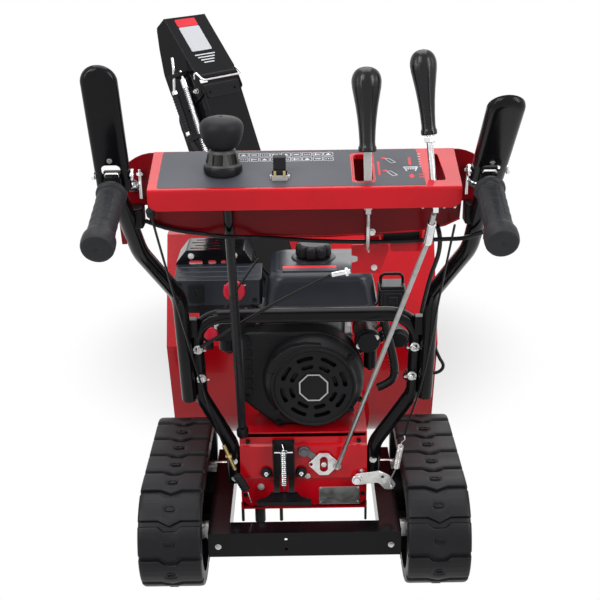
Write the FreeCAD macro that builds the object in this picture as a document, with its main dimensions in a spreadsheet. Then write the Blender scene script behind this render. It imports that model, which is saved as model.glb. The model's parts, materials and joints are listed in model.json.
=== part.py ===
import FreeCAD
import Part
import Sketcher
import math
import os

from FreeCAD import Placement, Rotation, Vector

# Tracked snow blower, millimetres.  +Y is forward, +X the operator's right, +Z up.
# The origin lies on the ground under the middle of the whole machine.

doc = FreeCAD.newDocument("tracked_snow_blower")
sheet = doc.addObject("Spreadsheet::Sheet", "sizes")


class Size:
    """A number together with the sheet expression that gives it."""

    def __init__(self, value, text):
        self.value = float(value)
        self.text = text

    def __add__(self, other):
        other = as_size(other)
        return Size(self.value + other.value, f"({self.text} + {other.text})")

    def __radd__(self, other):
        return as_size(other) + self

    def __sub__(self, other):
        other = as_size(other)
        return Size(self.value - other.value, f"({self.text} - {other.text})")

    def __rsub__(self, other):
        return as_size(other) - self

    def __mul__(self, other):
        other = as_size(other)
        return Size(self.value * other.value, f"({self.text} * {other.text})")

    def __rmul__(self, other):
        return as_size(other) * self

    def __truediv__(self, other):
        other = as_size(other)
        return Size(self.value / other.value, f"({self.text} / {other.text})")

    def __rtruediv__(self, other):
        return as_size(other) / self

    def __neg__(self):
        return Size(-self.value, f"(-{self.text})")

    def __float__(self):
        return self.value


def as_size(amount):
    if isinstance(amount, Size):
        return amount
    return Size(amount, f"({float(amount)!r})")


def sine(angle):
    return Size(math.sin(math.radians(float(angle))), f"sin({as_size(angle).text})")


def cosine(angle):
    return Size(math.cos(math.radians(float(angle))), f"cos({as_size(angle).text})")


def root(amount):
    return Size(math.sqrt(float(amount)), f"sqrt({as_size(amount).text})")


row_count = 0


def size(name, value):
    global row_count
    row_count += 1
    sheet.set(f"A{row_count}", name)
    sheet.set(f"B{row_count}", repr(float(value)))
    sheet.setAlias(f"B{row_count}", name)
    return Size(value, f"sizes.{name}")


def bind(item, prop, amount):
    item.setExpression(prop, as_size(amount).text)


def vector(x, y, z):
    return Vector(float(x), float(y), float(z))


def place(item, x=0, y=0, z=0):
    for axis, amount in zip("xyz", (x, y, z)):
        bind(item, f"Placement.Base.{axis}", amount)


# ---- primitives -------------------------------------------------------------------------

turns = {
    "x": Rotation(Vector(0, 1, 0), 90),
    "y": Rotation(Vector(1, 0, 0), -90),
    "z": Rotation(),
}


def box(name, x, y, z):
    item = doc.addObject("Part::Box", name)
    for prop, span in zip(("Length", "Width", "Height"), (x, y, z)):
        bind(item, prop, as_size(span[1]) - span[0])
    place(item, x[0], y[0], z[0])
    return item


def rod(name, along, span, radius, u=0, v=0):
    """A cylinder along one axis from span[0] to span[1]; u and v are its other two coordinates."""
    item = doc.addObject("Part::Cylinder", name)
    item.Placement = Placement(Vector(), turns[along])
    bind(item, "Radius", radius)
    bind(item, "Height", as_size(span[1]) - span[0])
    if along == "x":
        place(item, span[0], u, v)
    elif along == "y":
        place(item, u, span[0], v)
    else:
        place(item, u, v, span[0])
    return item


def fuse(name, *items):
    item = doc.addObject("Part::MultiFuse", name)
    item.Shapes = list(items)
    return item


def cut(name, base, *tools):
    item = doc.addObject("Part::Cut", name)
    item.Base = base
    item.Tool = tools[0] if len(tools) == 1 else fuse(name + "_tools", *tools)
    return item


def common(name, first, second):
    item = doc.addObject("Part::MultiCommon", name)
    item.Shapes = [first, second]
    return item


def group(name, *items):
    item = doc.addObject("Part::Compound", name)
    item.Links = list(items)
    return item


def mirrored(name, source):
    item = doc.addObject("Part::Mirroring", name)
    item.Source = source
    item.Normal = Vector(1, 0, 0)
    item.Base = Vector(0, 0, 0)
    return item


def ring(name, along, span, outer, inner, u=0, v=0):
    return cut(name, rod(name + "_outer", along, span, outer, u, v),
               rod(name + "_bore", along, span, inner, u, v))


# ---- bodies from sketches ---------------------------------------------------------------

planes = {"x": "YZ_Plane", "y": "XZ_Plane", "z": "XY_Plane"}


class Arc:
    """A corner of an outline that is reached by an arc about a centre."""

    def __init__(self, u, v, centre_u, centre_v, clockwise=False):
        self.point = (u, v)
        self.centre = (centre_u, centre_v)
        self.clockwise = clockwise


def body(name):
    return doc.addObject("PartDesign::Body", name)


def sketch_on(owner, along, level, outline):
    """A closed outline on the plane across one axis, at one level; arcs are Arc entries."""
    item = owner.newObject("Sketcher::SketchObject", owner.Name + "_outline")
    plane = [f for f in owner.Origin.OriginFeatures if f.Role == planes[along]][0]
    item.AttachmentSupport = [(plane, "")]
    item.MapMode = "FlatFace"
    bind(item, "AttachmentOffset.Base.z", -as_size(level) if along == "y" else level)
    points = [entry.point if isinstance(entry, Arc) else entry for entry in outline]
    count = len(points)
    for index in range(count):
        here = vector(*points[index], 0)
        following = outline[(index + 1) % count]
        there = vector(*points[(index + 1) % count], 0)
        if isinstance(following, Arc):
            centre = vector(*following.centre, 0)
            radius = (here - centre).Length
            start, finish = here, there
            if following.clockwise:
                start, finish = there, here
            first = math.atan2(start.y - centre.y, start.x - centre.x)
            last = math.atan2(finish.y - centre.y, finish.x - centre.x)
            circle = Part.Circle(centre, Vector(0, 0, 1), radius)
            item.addGeometry(Part.ArcOfCircle(circle, first, last))
        else:
            item.addGeometry(Part.LineSegment(here, there))
    for index in range(count):
        reversed_arc = isinstance(outline[(index + 1) % count], Arc) and outline[(index + 1) % count].clockwise
        start_end = 2 if reversed_arc else 1
        fix(item, index, start_end, points[index])
        following_arc = outline[(index + 2) % count]
        next_start = 2 if isinstance(following_arc, Arc) and following_arc.clockwise else 1
        item.addConstraint(Sketcher.Constraint("Coincident", index, 3 - start_end,
                                               (index + 1) % count, next_start))
        following = outline[(index + 1) % count]
        if isinstance(following, Arc):
            here, there = points[index], points[(index + 1) % count]
            flat = abs(float(there[0]) - float(here[0])) > abs(float(there[1]) - float(here[1]))
            kind = "DistanceY" if flat else "DistanceX"
            amount = as_size(following.centre[1 if flat else 0])
            number = item.addConstraint(Sketcher.Constraint(kind, -1, 1, index, 3, float(amount)))
            bind(item, f"Constraints[{number}]", amount)
    return item


def fix(item, index, end, point):
    for kind, amount in zip(("DistanceX", "DistanceY"), point):
        number = item.addConstraint(Sketcher.Constraint(kind, -1, 1, index, end, float(amount)))
        bind(item, f"Constraints[{number}]", amount)


def pad(owner, along, span, outline):
    """Adds an outline's prism from span[0] to span[1] along one axis."""
    level = span[1] if along == "y" else span[0]
    sketch = sketch_on(owner, along, level, outline)
    item = owner.newObject("PartDesign::Pad", owner.Name + "_pad")
    item.Profile = sketch
    bind(item, "Length", as_size(span[1]) - span[0])
    owner.Tip = item
    return item


def pocket(owner, along, span, outline):
    """Takes an outline's prism away from span[0] to span[1] along one axis."""
    level = span[0] if along == "y" else span[1]
    sketch = sketch_on(owner, along, level, outline)
    item = owner.newObject("PartDesign::Pocket", owner.Name + "_pocket")
    item.Profile = sketch
    bind(item, "Length", as_size(span[1]) - span[0])
    owner.Tip = item
    return item


def bore(owner, along, span, radius, u=0, v=0):
    """Takes a round hole away along one axis."""
    level = span[0] if along == "y" else span[1]
    sketch = circle_on(owner, along, level, radius, u, v)
    item = owner.newObject("PartDesign::Pocket", owner.Name + "_bore")
    item.Profile = sketch
    bind(item, "Length", as_size(span[1]) - span[0])
    owner.Tip = item
    return item


def boss(owner, along, span, radius, u=0, v=0):
    """Adds a round boss along one axis."""
    level = span[1] if along == "y" else span[0]
    sketch = circle_on(owner, along, level, radius, u, v)
    item = owner.newObject("PartDesign::Pad", owner.Name + "_boss")
    item.Profile = sketch
    bind(item, "Length", as_size(span[1]) - span[0])
    owner.Tip = item
    return item


def circle_on(owner, along, level, radius, u, v):
    item = owner.newObject("Sketcher::SketchObject", owner.Name + "_circle")
    plane = [f for f in owner.Origin.OriginFeatures if f.Role == planes[along]][0]
    item.AttachmentSupport = [(plane, "")]
    item.MapMode = "FlatFace"
    bind(item, "AttachmentOffset.Base.z", -as_size(level) if along == "y" else level)
    item.addGeometry(Part.Circle(vector(u, v, 0), Vector(0, 0, 1), float(radius)))
    fix(item, 0, 3, (u, v))
    number = item.addConstraint(Sketcher.Constraint("Radius", 0, float(radius)))
    bind(item, f"Constraints[{number}]", radius)
    return item


def turned(name, profile):
    """A body turned about its own Z axis from a closed profile of (radius, height) points."""
    owner = body(name)
    sketch = sketch_on(owner, "y", 0, profile)
    item = owner.newObject("PartDesign::Revolution", name + "_turn")
    item.Profile = sketch
    item.ReferenceAxis = (sketch, ["V_Axis"])
    item.Angle = 360
    owner.Tip = item
    return owner


def edges_along(item, direction, keep=lambda middle: True):
    """Names of the straight edges of a feature that run along one direction."""
    doc.recompute()
    names = []
    for number, edge in enumerate(item.Shape.Edges, 1):
        if edge.Curve.TypeId != "Part::GeomLine":
            continue
        run = edge.Vertexes[-1].Point - edge.Vertexes[0].Point
        if run.normalize().cross(direction).Length < 1e-6 and keep(edge.CenterOfMass):
            names.append(f"Edge{number}")
    return names


def rounded(owner, radius, direction, keep=lambda middle: True):
    base = owner.Tip
    names = edges_along(base, direction, keep)
    item = owner.newObject("PartDesign::Fillet", owner.Name + "_round")
    item.Base = (base, names)
    bind(item, "Radius", radius)
    owner.Tip = item
    return item


# ---- bent tubes -------------------------------------------------------------------------

def path(name, points, bends):
    """A wire of straight runs joined by tangent arcs; bends holds one radius per inner point."""
    spots = [vector(*point) for point in points]
    edges = []
    last = spots[0]
    for index in range(1, len(spots) - 1):
        corner = spots[index]
        back = (spots[index - 1] - corner).normalize()
        ahead = (spots[index + 1] - corner).normalize()
        turn = math.pi - back.getAngle(ahead)
        radius = float(bends[index - 1])
        reach = radius * math.tan(turn / 2)
        start = corner + back * reach
        finish = corner + ahead * reach
        inward = (back + ahead).normalize()
        middle = corner + inward * (radius / math.cos(turn / 2) - radius)
        edges.append(Part.LineSegment(last, start).toShape())
        edges.append(Part.Arc(start, middle, finish).toShape())
        last = finish
    edges.append(Part.LineSegment(last, spots[-1]).toShape())
    item = doc.addObject("Part::Feature", name)
    item.Shape = Part.Wire(edges)
    return item


def swept(name, spine, radius):
    """A round bar along a wire."""
    profile = doc.addObject("Part::Circle", name + "_section")
    bind(profile, "Radius", radius)
    first = spine.Shape.Edges[0]
    start = first.valueAt(first.FirstParameter)
    direction = first.tangentAt(first.FirstParameter)
    profile.Placement = Placement(start, Rotation(Vector(0, 0, 1), direction))
    item = doc.addObject("Part::Sweep", name)
    item.Sections = [profile]
    item.Spine = (spine, [f"Edge{n}" for n in range(1, len(spine.Shape.Edges) + 1)])
    item.Solid = True
    return item


def tube(name, points, bends, outer, inner):
    """A hollow bent tube; returns the tube and its outer bar, which neighbours are coped to."""
    spine = path(name + "_spine", points, bends)
    bar = swept(name + "_bar", spine, outer)
    return cut(name, bar, swept(name + "_hollow", spine, inner)), bar


def aimed(item, start, finish):
    """Turns a piece so that its Z axis runs from one point towards another."""
    here = vector(*start)
    item.Placement = Placement(here, Rotation(Vector(0, 0, 1), vector(*finish) - here))
    return item


def between(name, start, finish, radius):
    """A round bar from one point to another."""
    item = doc.addObject("Part::Cylinder", name)
    bind(item, "Radius", radius)
    here, there = vector(*start), vector(*finish)
    item.Height = (there - here).Length
    return aimed(item, start, finish)



# ---- driving dimensions -----------------------------------------------------------------

# running gear
track_width = size("track_width", 122)
track_radius = size("track_radius", 112.5)
lug_height = size("lug_height", 21)
belt_wall = size("belt_wall", 11)
lug_count = 17
drive_y = size("drive_y", 62.5)
idler_y = size("idler_y", -192.5)
wheel_width = size("wheel_width", 70)
wheel_web = size("wheel_web", 10)
wheel_rim = size("wheel_rim", 9)
wheel_hub = size("wheel_hub", 26)
roller_radius = size("roller_radius", 26)
roller_gap = size("roller_gap", 66)
roller_pin = size("roller_pin", 7)
axle_radius = size("axle_radius", 12.5)
idler_pin = size("idler_pin", 10)
hub_gap = size("hub_gap", 11)
rail_width = size("rail_width", 42)
track_gap = size("track_gap", 7)
rail_top = size("rail_top", 124)
rail_low = size("rail_low", 70)
rail_front = size("rail_front", 119)
beam_rear = size("beam_rear", -226)
beam_front = size("beam_front", -185)
rail_wall = size("rail_wall", 4)
hanger_low = size("hanger_low", 44)
beam_hole = size("beam_hole", 3.5)
beam_hole_x = size("beam_hole_x", -37)
beam_hole_gap = size("beam_hole_gap", 22)
pin_play = size("pin_play", 0.1)

# chassis
tub_half = size("tub_half", 129)
tub_rear = size("tub_rear", -120)
tub_low = size("tub_low", 114)
tub_belly = size("tub_belly", 74)
tub_top = size("tub_top", 292)
tub_round = size("tub_round", 24)
sheet_wall = size("sheet_wall", 3)
belly_rear = size("belly_rear", -25)
belly_front = size("belly_front", 8)
hub_radius = size("hub_radius", 30)
hub_width = size("hub_width", 10)
rail_inner = tub_half + hub_width + hub_gap
rail_outer = rail_inner + rail_width
track_reach = rail_outer + track_gap + track_width

# blower housing
drum_z = size("drum_z", 200)
drum_radius = size("drum_radius", 147)
drum_rear = size("drum_rear", 135)
auger_y = size("auger_y", 460)
auger_z = size("auger_z", 165)
auger_radius = size("auger_radius", 144)
mouth_gap = size("mouth_gap", 8)
house_half = size("house_half", 316)
house_front = size("house_front", 635)
house_top = size("house_top", 555)
shoe_wall = size("shoe_wall", 5)

# chute
chute_x = size("chute_x", -67.5)
chute_y = size("chute_y", 196)
spout_radius = size("spout_radius", 57)
spout_top = size("spout_top", 441)
ring_radius = size("ring_radius", 86)
ring_gap = size("ring_gap", 1)
chute_turned = size("chute_turned", 50)
chute_lean = size("chute_lean", 21.8)
chute_half = size("chute_half", 59)
chute_back = size("chute_back", 61)
chute_depth = size("chute_depth", 103)
chute_length = size("chute_length", 511)
deflector_tilt = size("deflector_tilt", 19.1)
deflector_length = size("deflector_length", 152)
side_gap = size("side_gap", 5)
pivot_radius = size("pivot_radius", 4)

# engine
crank_x = size("crank_x", 22)
engine_rear = size("engine_rear", -40)
engine_front = size("engine_front", 60)
shroud_rear = size("shroud_rear", -92)
shroud_radius = size("shroud_radius", 103)
crank_z = tub_top + shroud_radius
recoil_rear = size("recoil_rear", -132)

# handles and console
tube_radius = size("tube_radius", 14)
tube_wall = size("tube_wall", 2)
frame_half = size("frame_half", 198.5)
console_half = size("console_half", 272)
grip_length = size("grip_length", 130)
grip_radius = size("grip_radius", 20)

parts = {}


def keep(item, name):
    item.Label = name
    parts[name] = item


# ---- undercarriage ----------------------------------------------------------------------

def track(name, side):
    """A rubber loop: a stadium belt with full-width lugs, each bent back at its middle."""
    outer = float(track_radius - lug_height)
    inner = outer - float(belt_wall)
    rear, front, level = float(idler_y), float(drive_y), float(track_radius)
    half = float(track_width) / 2

    def stadium(radius, width):
        low, high = level - radius, level + radius
        edges = [
            Part.LineSegment(Vector(-width, rear, low), Vector(-width, front, low)),
            Part.Arc(Vector(-width, front, low), Vector(-width, front + radius, level), Vector(-width, front, high)),
            Part.LineSegment(Vector(-width, front, high), Vector(-width, rear, high)),
            Part.Arc(Vector(-width, rear, high), Vector(-width, rear - radius, level), Vector(-width, rear, low)),
        ]
        face = Part.Face(Part.Wire([edge.toShape() for edge in edges]))
        return face.extrude(Vector(2 * width, 0, 0))

    belt = stadium(outer, half).cut(stadium(inner, half + 1))
    root_depth = 3
    foot, tip, bend = 27, 15, 9

    def lug_section(thick, level):
        points = [(-half, -thick / 2), (-half / 3, -thick / 2), (0, -thick / 2 - bend), (half / 3, -thick / 2),
                  (half, -thick / 2), (half, thick / 2), (half / 3, thick / 2), (0, thick / 2 - bend),
                  (-half / 3, thick / 2), (-half, thick / 2)]
        return Part.makePolygon([Vector(x, y, level) for x, y in points + points[:1]])

    lug = Part.makeLoft([lug_section(foot, 0), lug_section(tip, float(lug_height) + root_depth)], True, True)
    straight = front - rear
    pitch = (2 * straight + 2 * math.pi * outer) / lug_count
    lugs = []
    for index in range(lug_count):
        along = (index + 0.5) * pitch
        if along < straight:
            spot, angle = Vector(0, front - along, level + outer), 0
        elif along < straight + math.pi * outer:
            angle = math.degrees((along - straight) / outer)
            spot = Vector(0, rear - outer * math.sin(math.radians(angle)),
                          level + outer * math.cos(math.radians(angle)))
        elif along < 2 * straight + math.pi * outer:
            spot, angle = Vector(0, rear + along - straight - math.pi * outer, level - outer), 180
        else:
            angle = 180 + math.degrees((along - 2 * straight - math.pi * outer) / outer)
            spot = Vector(0, front - outer * math.sin(math.radians(angle)),
                          level + outer * math.cos(math.radians(angle)))
        turn = Rotation(Vector(1, 0, 0), angle)
        copy = lug.copy()
        copy.Placement = Placement(spot - turn.multVec(Vector(0, 0, root_depth)), turn)
        lugs.append(copy)
    item = doc.addObject("Part::Feature", name)
    item.Shape = belt.multiFuse(lugs)
    item.Placement = Placement(vector(side * (track_reach - track_width / 2), 0, 0), Rotation())
    keep(item, name)


def wheel(name, y, radius, pin):
    """A flanged wheel on the loop's centre line, seen as rim, web and hub."""
    middle = track_reach - track_width / 2
    near, far = middle - wheel_width / 2, middle + wheel_width / 2
    rim = ring(name + "_rim", "x", (near, far), radius, radius - wheel_rim, y, track_radius)
    web = rod(name + "_web", "x", (middle - wheel_web / 2, middle + wheel_web / 2), radius - wheel_rim / 2,
              y, track_radius)
    hub = rod(name + "_hub", "x", (near, far), wheel_hub, y, track_radius)
    return cut(name, fuse(name + "_solid", rim, web, hub),
               rod(name + "_eye", "x", (near - 1, far + 1), pin, y, track_radius))


def running_gear():
    middle = track_reach - track_width / 2
    near, far = middle - wheel_width / 2, middle + wheel_width / 2
    inner = track_radius - lug_height - belt_wall
    drive = wheel("drive_wheel", drive_y, inner, axle_radius)
    idler = wheel("idler_wheel", idler_y, inner, idler_pin)
    centre = (drive_y + idler_y) / 2
    roller_z = lug_height + belt_wall + roller_radius
    rollers = []
    for sign in (-1, 1):
        y = centre + sign * roller_gap / 2
        rollers.append(ring("roller", "x", (near, far), roller_radius, roller_pin, y, roller_z))
    right = group("track_wheels_right", drive, idler, *rollers)
    keep(right, "track_wheels_right")
    keep(mirrored("track_wheels_left", right), "track_wheels_left")

    rail = body("rail")
    pad(rail, "y", (beam_front, rail_front),
        [(rail_inner, rail_low), (rail_inner + rail_wall, rail_low),
         (rail_inner + rail_wall, rail_top - rail_wall), (rail_outer - rail_wall, rail_top - rail_wall),
         (rail_outer - rail_wall, rail_low), (rail_outer, rail_low), (rail_outer, rail_top),
         (rail_inner, rail_top)])
    reach = roller_gap / 2 + roller_radius
    pad(rail, "x", (rail_outer - rail_wall, rail_outer),
        [(centre - reach, hanger_low), (centre + reach, hanger_low), (centre + reach, rail_top),
         (centre - reach, rail_top)])
    bore(rail, "x", (rail_inner - 1, rail_outer + 1), axle_radius, drive_y, track_radius)
    pins = [rod("roller_axle", "x", (rail_outer, far + 6), roller_pin,
                centre + sign * roller_gap / 2, roller_z) for sign in (-1, 1)]
    right = fuse("track_frame_right", rail, *pins)
    keep(right, "track_frame_right")
    keep(mirrored("track_frame_left", right), "track_frame_left")

    beam = body("rear_crossbeam")
    pad(beam, "x", (-rail_outer, rail_outer),
        [(beam_rear, rail_low), (beam_front, rail_low), (beam_front, rail_top), (beam_rear, rail_top)])
    pocket(beam, "x", (-rail_outer + rail_wall, rail_outer - rail_wall),
           [(beam_rear + rail_wall, rail_low + rail_wall), (beam_front + 1, rail_low + rail_wall),
            (beam_front + 1, rail_top - rail_wall), (beam_rear + rail_wall, rail_top - rail_wall)])
    for sign in (-1, 1):
        bore(beam, "y", (beam_rear - 1, beam_rear + rail_wall + 1), beam_hole,
             beam_hole_x, (rail_low + rail_top) / 2 + sign * beam_hole_gap / 2)
    keep(beam, "rear_crossbeam")

    stub = rod("idler_axle", "x", (rail_outer, far + 8), idler_pin, idler_y, track_radius)
    collar = rod("idler_collar", "x", (rail_outer, near), wheel_hub - 8, idler_y, track_radius)
    right = fuse("idler_axle_right", stub, collar)
    keep(group("idler_axles", right, mirrored("idler_axle_left", right)), "idler_axles")
    keep(rod("drive_axle", "x", (-far - 10, far + 10), axle_radius, drive_y, track_radius), "drive_axle")


track("track_left", -1)
track("track_right", 1)
running_gear()


# ---- chassis and blower housing ---------------------------------------------------------

def tub_outline(inset):
    return [(tub_rear - 1 * (inset / sheet_wall), tub_low + inset), (belly_rear, tub_low + inset),
            (belly_front, tub_belly + inset), (drum_rear + 1 * (inset / sheet_wall), tub_belly + inset),
            (drum_rear + 1 * (inset / sheet_wall), tub_top - inset),
            (tub_rear - 1 * (inset / sheet_wall), tub_top - inset)]


def chassis():
    tub = body("tub")
    pad(tub, "x", (-tub_half, tub_half), tub_outline(as_size(0)))
    for sign in (-1, 1):
        boss(tub, "x", sorted((sign * (tub_half - 1), sign * (tub_half + hub_width)), key=float),
             hub_radius, drive_y, track_radius)
    pocket(tub, "x", (-tub_half + sheet_wall, tub_half - sheet_wall), tub_outline(sheet_wall))
    bore(tub, "x", (-tub_half - hub_width - 1, tub_half + hub_width + 1), axle_radius + pin_play,
         drive_y, track_radius)
    keep(tub, "chassis_tub")

    cover = body("rear_cover")
    fold = 172
    pad(cover, "x", (-tub_half, tub_half),
        [(tub_rear, tub_low), (tub_rear, tub_top - 8), (tub_rear - sheet_wall, tub_top - 8),
         (tub_rear - sheet_wall, tub_low)])
    rounded(cover, tub_round, Vector(0, 1, 0), lambda middle: middle.z < float(tub_low) + 1)
    keep(cover, "rear_cover")


house_rear_top = (size("house_rear_top_y", 385), house_top)
house_rear = (size("house_rear_y", 252), size("house_rear_z", 323))
toe_y = size("toe_y", 590)
brow_y = size("brow_y", 560)
brow_z = size("brow_z", 440)


def unit(start, finish):
    run, rise = finish[0] - start[0], finish[1] - start[1]
    length = root(run * run + rise * rise)
    return run / length, rise / length


def inset(before, corner, after, wall):
    """The corner moved inwards by a wall on both its edges; inwards is to the left of the path."""
    first, second = unit(before, corner), unit(corner, after)
    reach = wall / (1 + first[0] * second[0] + first[1] * second[1])
    return corner[0] - (first[1] + second[1]) * reach, corner[1] + (first[0] + second[0]) * reach


trough_radius = auger_radius + mouth_gap + sheet_wall
trough_drop = auger_z - size("trough_end_z", 108)
trough_end = (auger_y - root(trough_radius * trough_radius - trough_drop * trough_drop), auger_z - trough_drop)
trough_front = size("trough_front", 18)


def housing_outline():
    """Side view of the housing: a round trough under the auger, a sloping back and a flat top."""
    return [(auger_y + trough_front, auger_z - trough_radius), (toe_y, auger_z - trough_radius),
            (house_front, 75), (house_front, brow_z), (brow_y, house_top), house_rear_top, house_rear,
            trough_end, Arc(auger_y, auger_z - trough_radius, auger_y, auger_z)]


def wrap_outline():
    """Side view of the sheet bent round the back of the housing, from brow to scraper."""
    brow = (brow_y, as_size(house_top))
    share = (trough_radius - sheet_wall) / trough_radius
    low = auger_z - trough_radius
    inner_end = (auger_y + (trough_end[0] - auger_y) * share, auger_z + (trough_end[1] - auger_z) * share)
    return [brow, house_rear_top, house_rear, trough_end, Arc(auger_y, low, auger_y, auger_z),
            (auger_y + trough_front, low), (auger_y + trough_front, low + sheet_wall),
            (auger_y, low + sheet_wall), Arc(*inner_end, auger_y, auger_z, clockwise=True),
            inset(house_rear_top, house_rear, trough_end, sheet_wall),
            inset(brow, house_rear_top, house_rear, sheet_wall), (brow_y, house_top - sheet_wall)]


def blower():
    outline = housing_outline()
    envelope = body("housing_envelope")
    pad(envelope, "x", (-house_half, house_half), outline)
    shell = body("housing_shell")
    pad(shell, "x", (-house_half, house_half), wrap_outline())
    for sign in (-1, 1):
        span = sorted((sign * (house_half - sheet_wall), sign * house_half), key=float)
        pad(shell, "x", span, outline)
    bore(shell, "y", (drum_rear, drum_rear + 240), drum_radius, 0, drum_z)
    boss_span = (house_half - sheet_wall - 8, house_half + shoe_wall)
    bosses = []
    for sign in (-1, 1):
        span = sorted((sign * boss_span[0], sign * boss_span[1]), key=float)
        bosses.append(rod("bearing", "x", span, hub_radius, auger_y, auger_z))
    solid = fuse("housing_solid", shell, *bosses)
    keep(cut("auger_housing", solid,
             rod("auger_bore", "x", (-house_half - 10, house_half + 10), axle_radius + 1.5 + pin_play,
                 auger_y, auger_z)), "auger_housing")

    outer = drum_radius + sheet_wall
    barrel = rod("barrel", "y", (drum_rear, drum_rear + 240), outer, 0, drum_z)
    spout = rod("spout", "z", (drum_z, spout_top), spout_radius, chute_x, chute_y)
    lip = rod("spout_lip", "z", (spout_top - 4, spout_top), ring_radius, chute_x, chute_y)
    solid = fuse("drum_solid", barrel, spout, lip)
    hollow = rod("barrel_hollow", "y", (drum_rear + sheet_wall, drum_rear + 241), drum_radius, 0, drum_z)
    throat = rod("spout_throat", "z", (drum_z, spout_top + 1), spout_radius - sheet_wall, chute_x, chute_y)
    eye = rod("drum_eye", "y", (drum_rear - 1, drum_rear + 10), axle_radius + pin_play, 0, drum_z)
    keep(cut("impeller_drum", solid, hollow, throat, eye, envelope), "impeller_drum")


chassis()
blower()


# ---- impeller and auger -----------------------------------------------------------------

shaft_radius = axle_radius
gearbox_rear = size("gearbox_rear", 425)
blade_gap = size("blade_gap", 15)
blade_width = size("blade_width", 85)
blade_reach = size("blade_reach", 140)
blade_wall = size("blade_wall", 4)
blade_count = 4
flight_inner = size("flight_inner", 96)
auger_shaft = size("auger_shaft", 14)
sleeve_radius = size("sleeve_radius", 19)
gearbox_half = size("gearbox_half", 34)
flight_gap = size("flight_gap", 16)
flight_start = gearbox_half + flight_gap
flight_end = house_half - sheet_wall - size("side_room", 15)
gearbox_radius = size("gearbox_radius", 46)


def repeated(owner, originals, count):
    item = owner.newObject("PartDesign::PolarPattern", owner.Name + "_pattern")
    item.Originals = originals
    item.Axis = ([f for f in owner.Origin.OriginFeatures if f.Role == "Z_Axis"][0], [""])
    item.Angle = 360
    item.Occurrences = count
    owner.Tip = item
    return item


def impeller():
    fan = body("fan")
    low, high = blade_gap, blade_gap + blade_width
    boss(fan, "z", (low, high), shaft_radius + 10)
    hook = blade_reach - 12
    blade = pad(fan, "z", (low, high),
                [(-blade_wall / 2, shaft_radius + 6), (blade_wall / 2, shaft_radius + 6), (blade_wall / 2, hook),
                 (blade_wall / 2 + 10, blade_reach - 3), (blade_wall / 2 + 7, blade_reach - 1),
                 (-blade_wall / 2, hook + 4)])
    doc.recompute()
    repeated(fan, [blade], blade_count)
    doc.recompute()
    bore(fan, "z", (low - 1, high + 1), shaft_radius)
    fan.Placement = Placement(Vector(), turns["y"])
    place(fan, 0, drum_rear, drum_z)
    keep(fan, "impeller")
    keep(rod("impeller_shaft", "y", (drum_rear - 22, gearbox_rear + 20), shaft_radius, 0, drum_z),
         "impeller_shaft")


def flights(name, sign):
    """Two helical ribbons on spokes, wound so that they carry snow towards the middle."""
    item = body(name)
    length = flight_end - flight_start
    sleeve = boss(item, "z", (flight_start - 3, flight_end + 3), sleeve_radius)
    sketch = sketch_on(item, "y", 0, [(flight_inner, flight_start), (auger_radius, flight_start),
                                      (auger_radius, flight_start + 4), (flight_inner, flight_start + 4)])
    ribbon = item.newObject("PartDesign::AdditiveHelix", name + "_ribbon")
    ribbon.Profile = sketch
    ribbon.ReferenceAxis = (sketch, ["V_Axis"])
    ribbon.Mode = 0
    bind(ribbon, "Pitch", length * 1.25)
    bind(ribbon, "Height", length - 4)
    ribbon.LeftHanded = sign > 0
    item.Tip = ribbon
    originals = [ribbon]
    for share in (0.12, 0.5, 0.88):
        angle = -sign * share * (length - 4) / (length * 1.25) * 360
        reach = ((sleeve_radius - 2, -8), (flight_inner + 12, -8), (flight_inner + 12, 8), (sleeve_radius - 2, 8))
        outline = [(r * cosine(angle) - w * sine(angle), r * sine(angle) + w * cosine(angle)) for r, w in reach]
        level = flight_start + share * (length - 4)
        originals.append(pad(item, "z", (level - 1, level + 5), outline))
    doc.recompute()
    repeated(item, originals, 2)
    doc.recompute()
    bore(item, "z", (flight_start - 4, flight_end + 4), auger_shaft)
    return item


def auger():
    for name, sign in (("auger_left", -1), ("auger_right", 1)):
        item = flights(name + "_flight", sign)
        item.Placement = Placement(Vector(), Rotation(Vector(0, 1, 0), 90 * sign))
        place(item, 0, auger_y, auger_z)
        keep(item, name)
    keep(rod("auger_shaft_bar", "x", (-house_half - 2, house_half + 2), auger_shaft, auger_y, auger_z),
         "auger_shaft")
    case = rod("gear_case", "x", (-gearbox_half, gearbox_half), gearbox_radius, auger_y, auger_z)
    worm = box("worm_case", (-26, 26), (gearbox_rear, auger_y + 40), (auger_z, drum_z + 28))
    bores = [rod("gear_bore", "x", (-gearbox_half - 1, gearbox_half + 1), auger_shaft + 0.5, auger_y, auger_z),
             rod("worm_bore", "y", (auger_y - gearbox_radius, gearbox_rear + 21), shaft_radius + 0.5, 0, drum_z)]
    keep(cut("auger_gearbox", fuse("gear_solid", case, worm), *bores), "auger_gearbox")


impeller()
auger()


# ---- chute ------------------------------------------------------------------------------

def leaning(along, across):
    """A point of the chute's side view: along its back from the ring, across from the back."""
    return (across * cosine(chute_lean) + along * sine(chute_lean) - chute_back,
            ring_top + along * cosine(chute_lean) - across * sine(chute_lean))


ring_wall = size("ring_wall", 6)
ring_top = ring_gap + ring_wall
pivot_across = size("pivot_across", 12)


def to_chute(item):
    item.Placement = Placement(Vector(), Rotation(Vector(0, 0, 1), float(chute_turned)))
    bind(item, "Placement.Rotation.Angle", chute_turned)
    place(item, chute_x, chute_y, spout_top)


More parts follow.
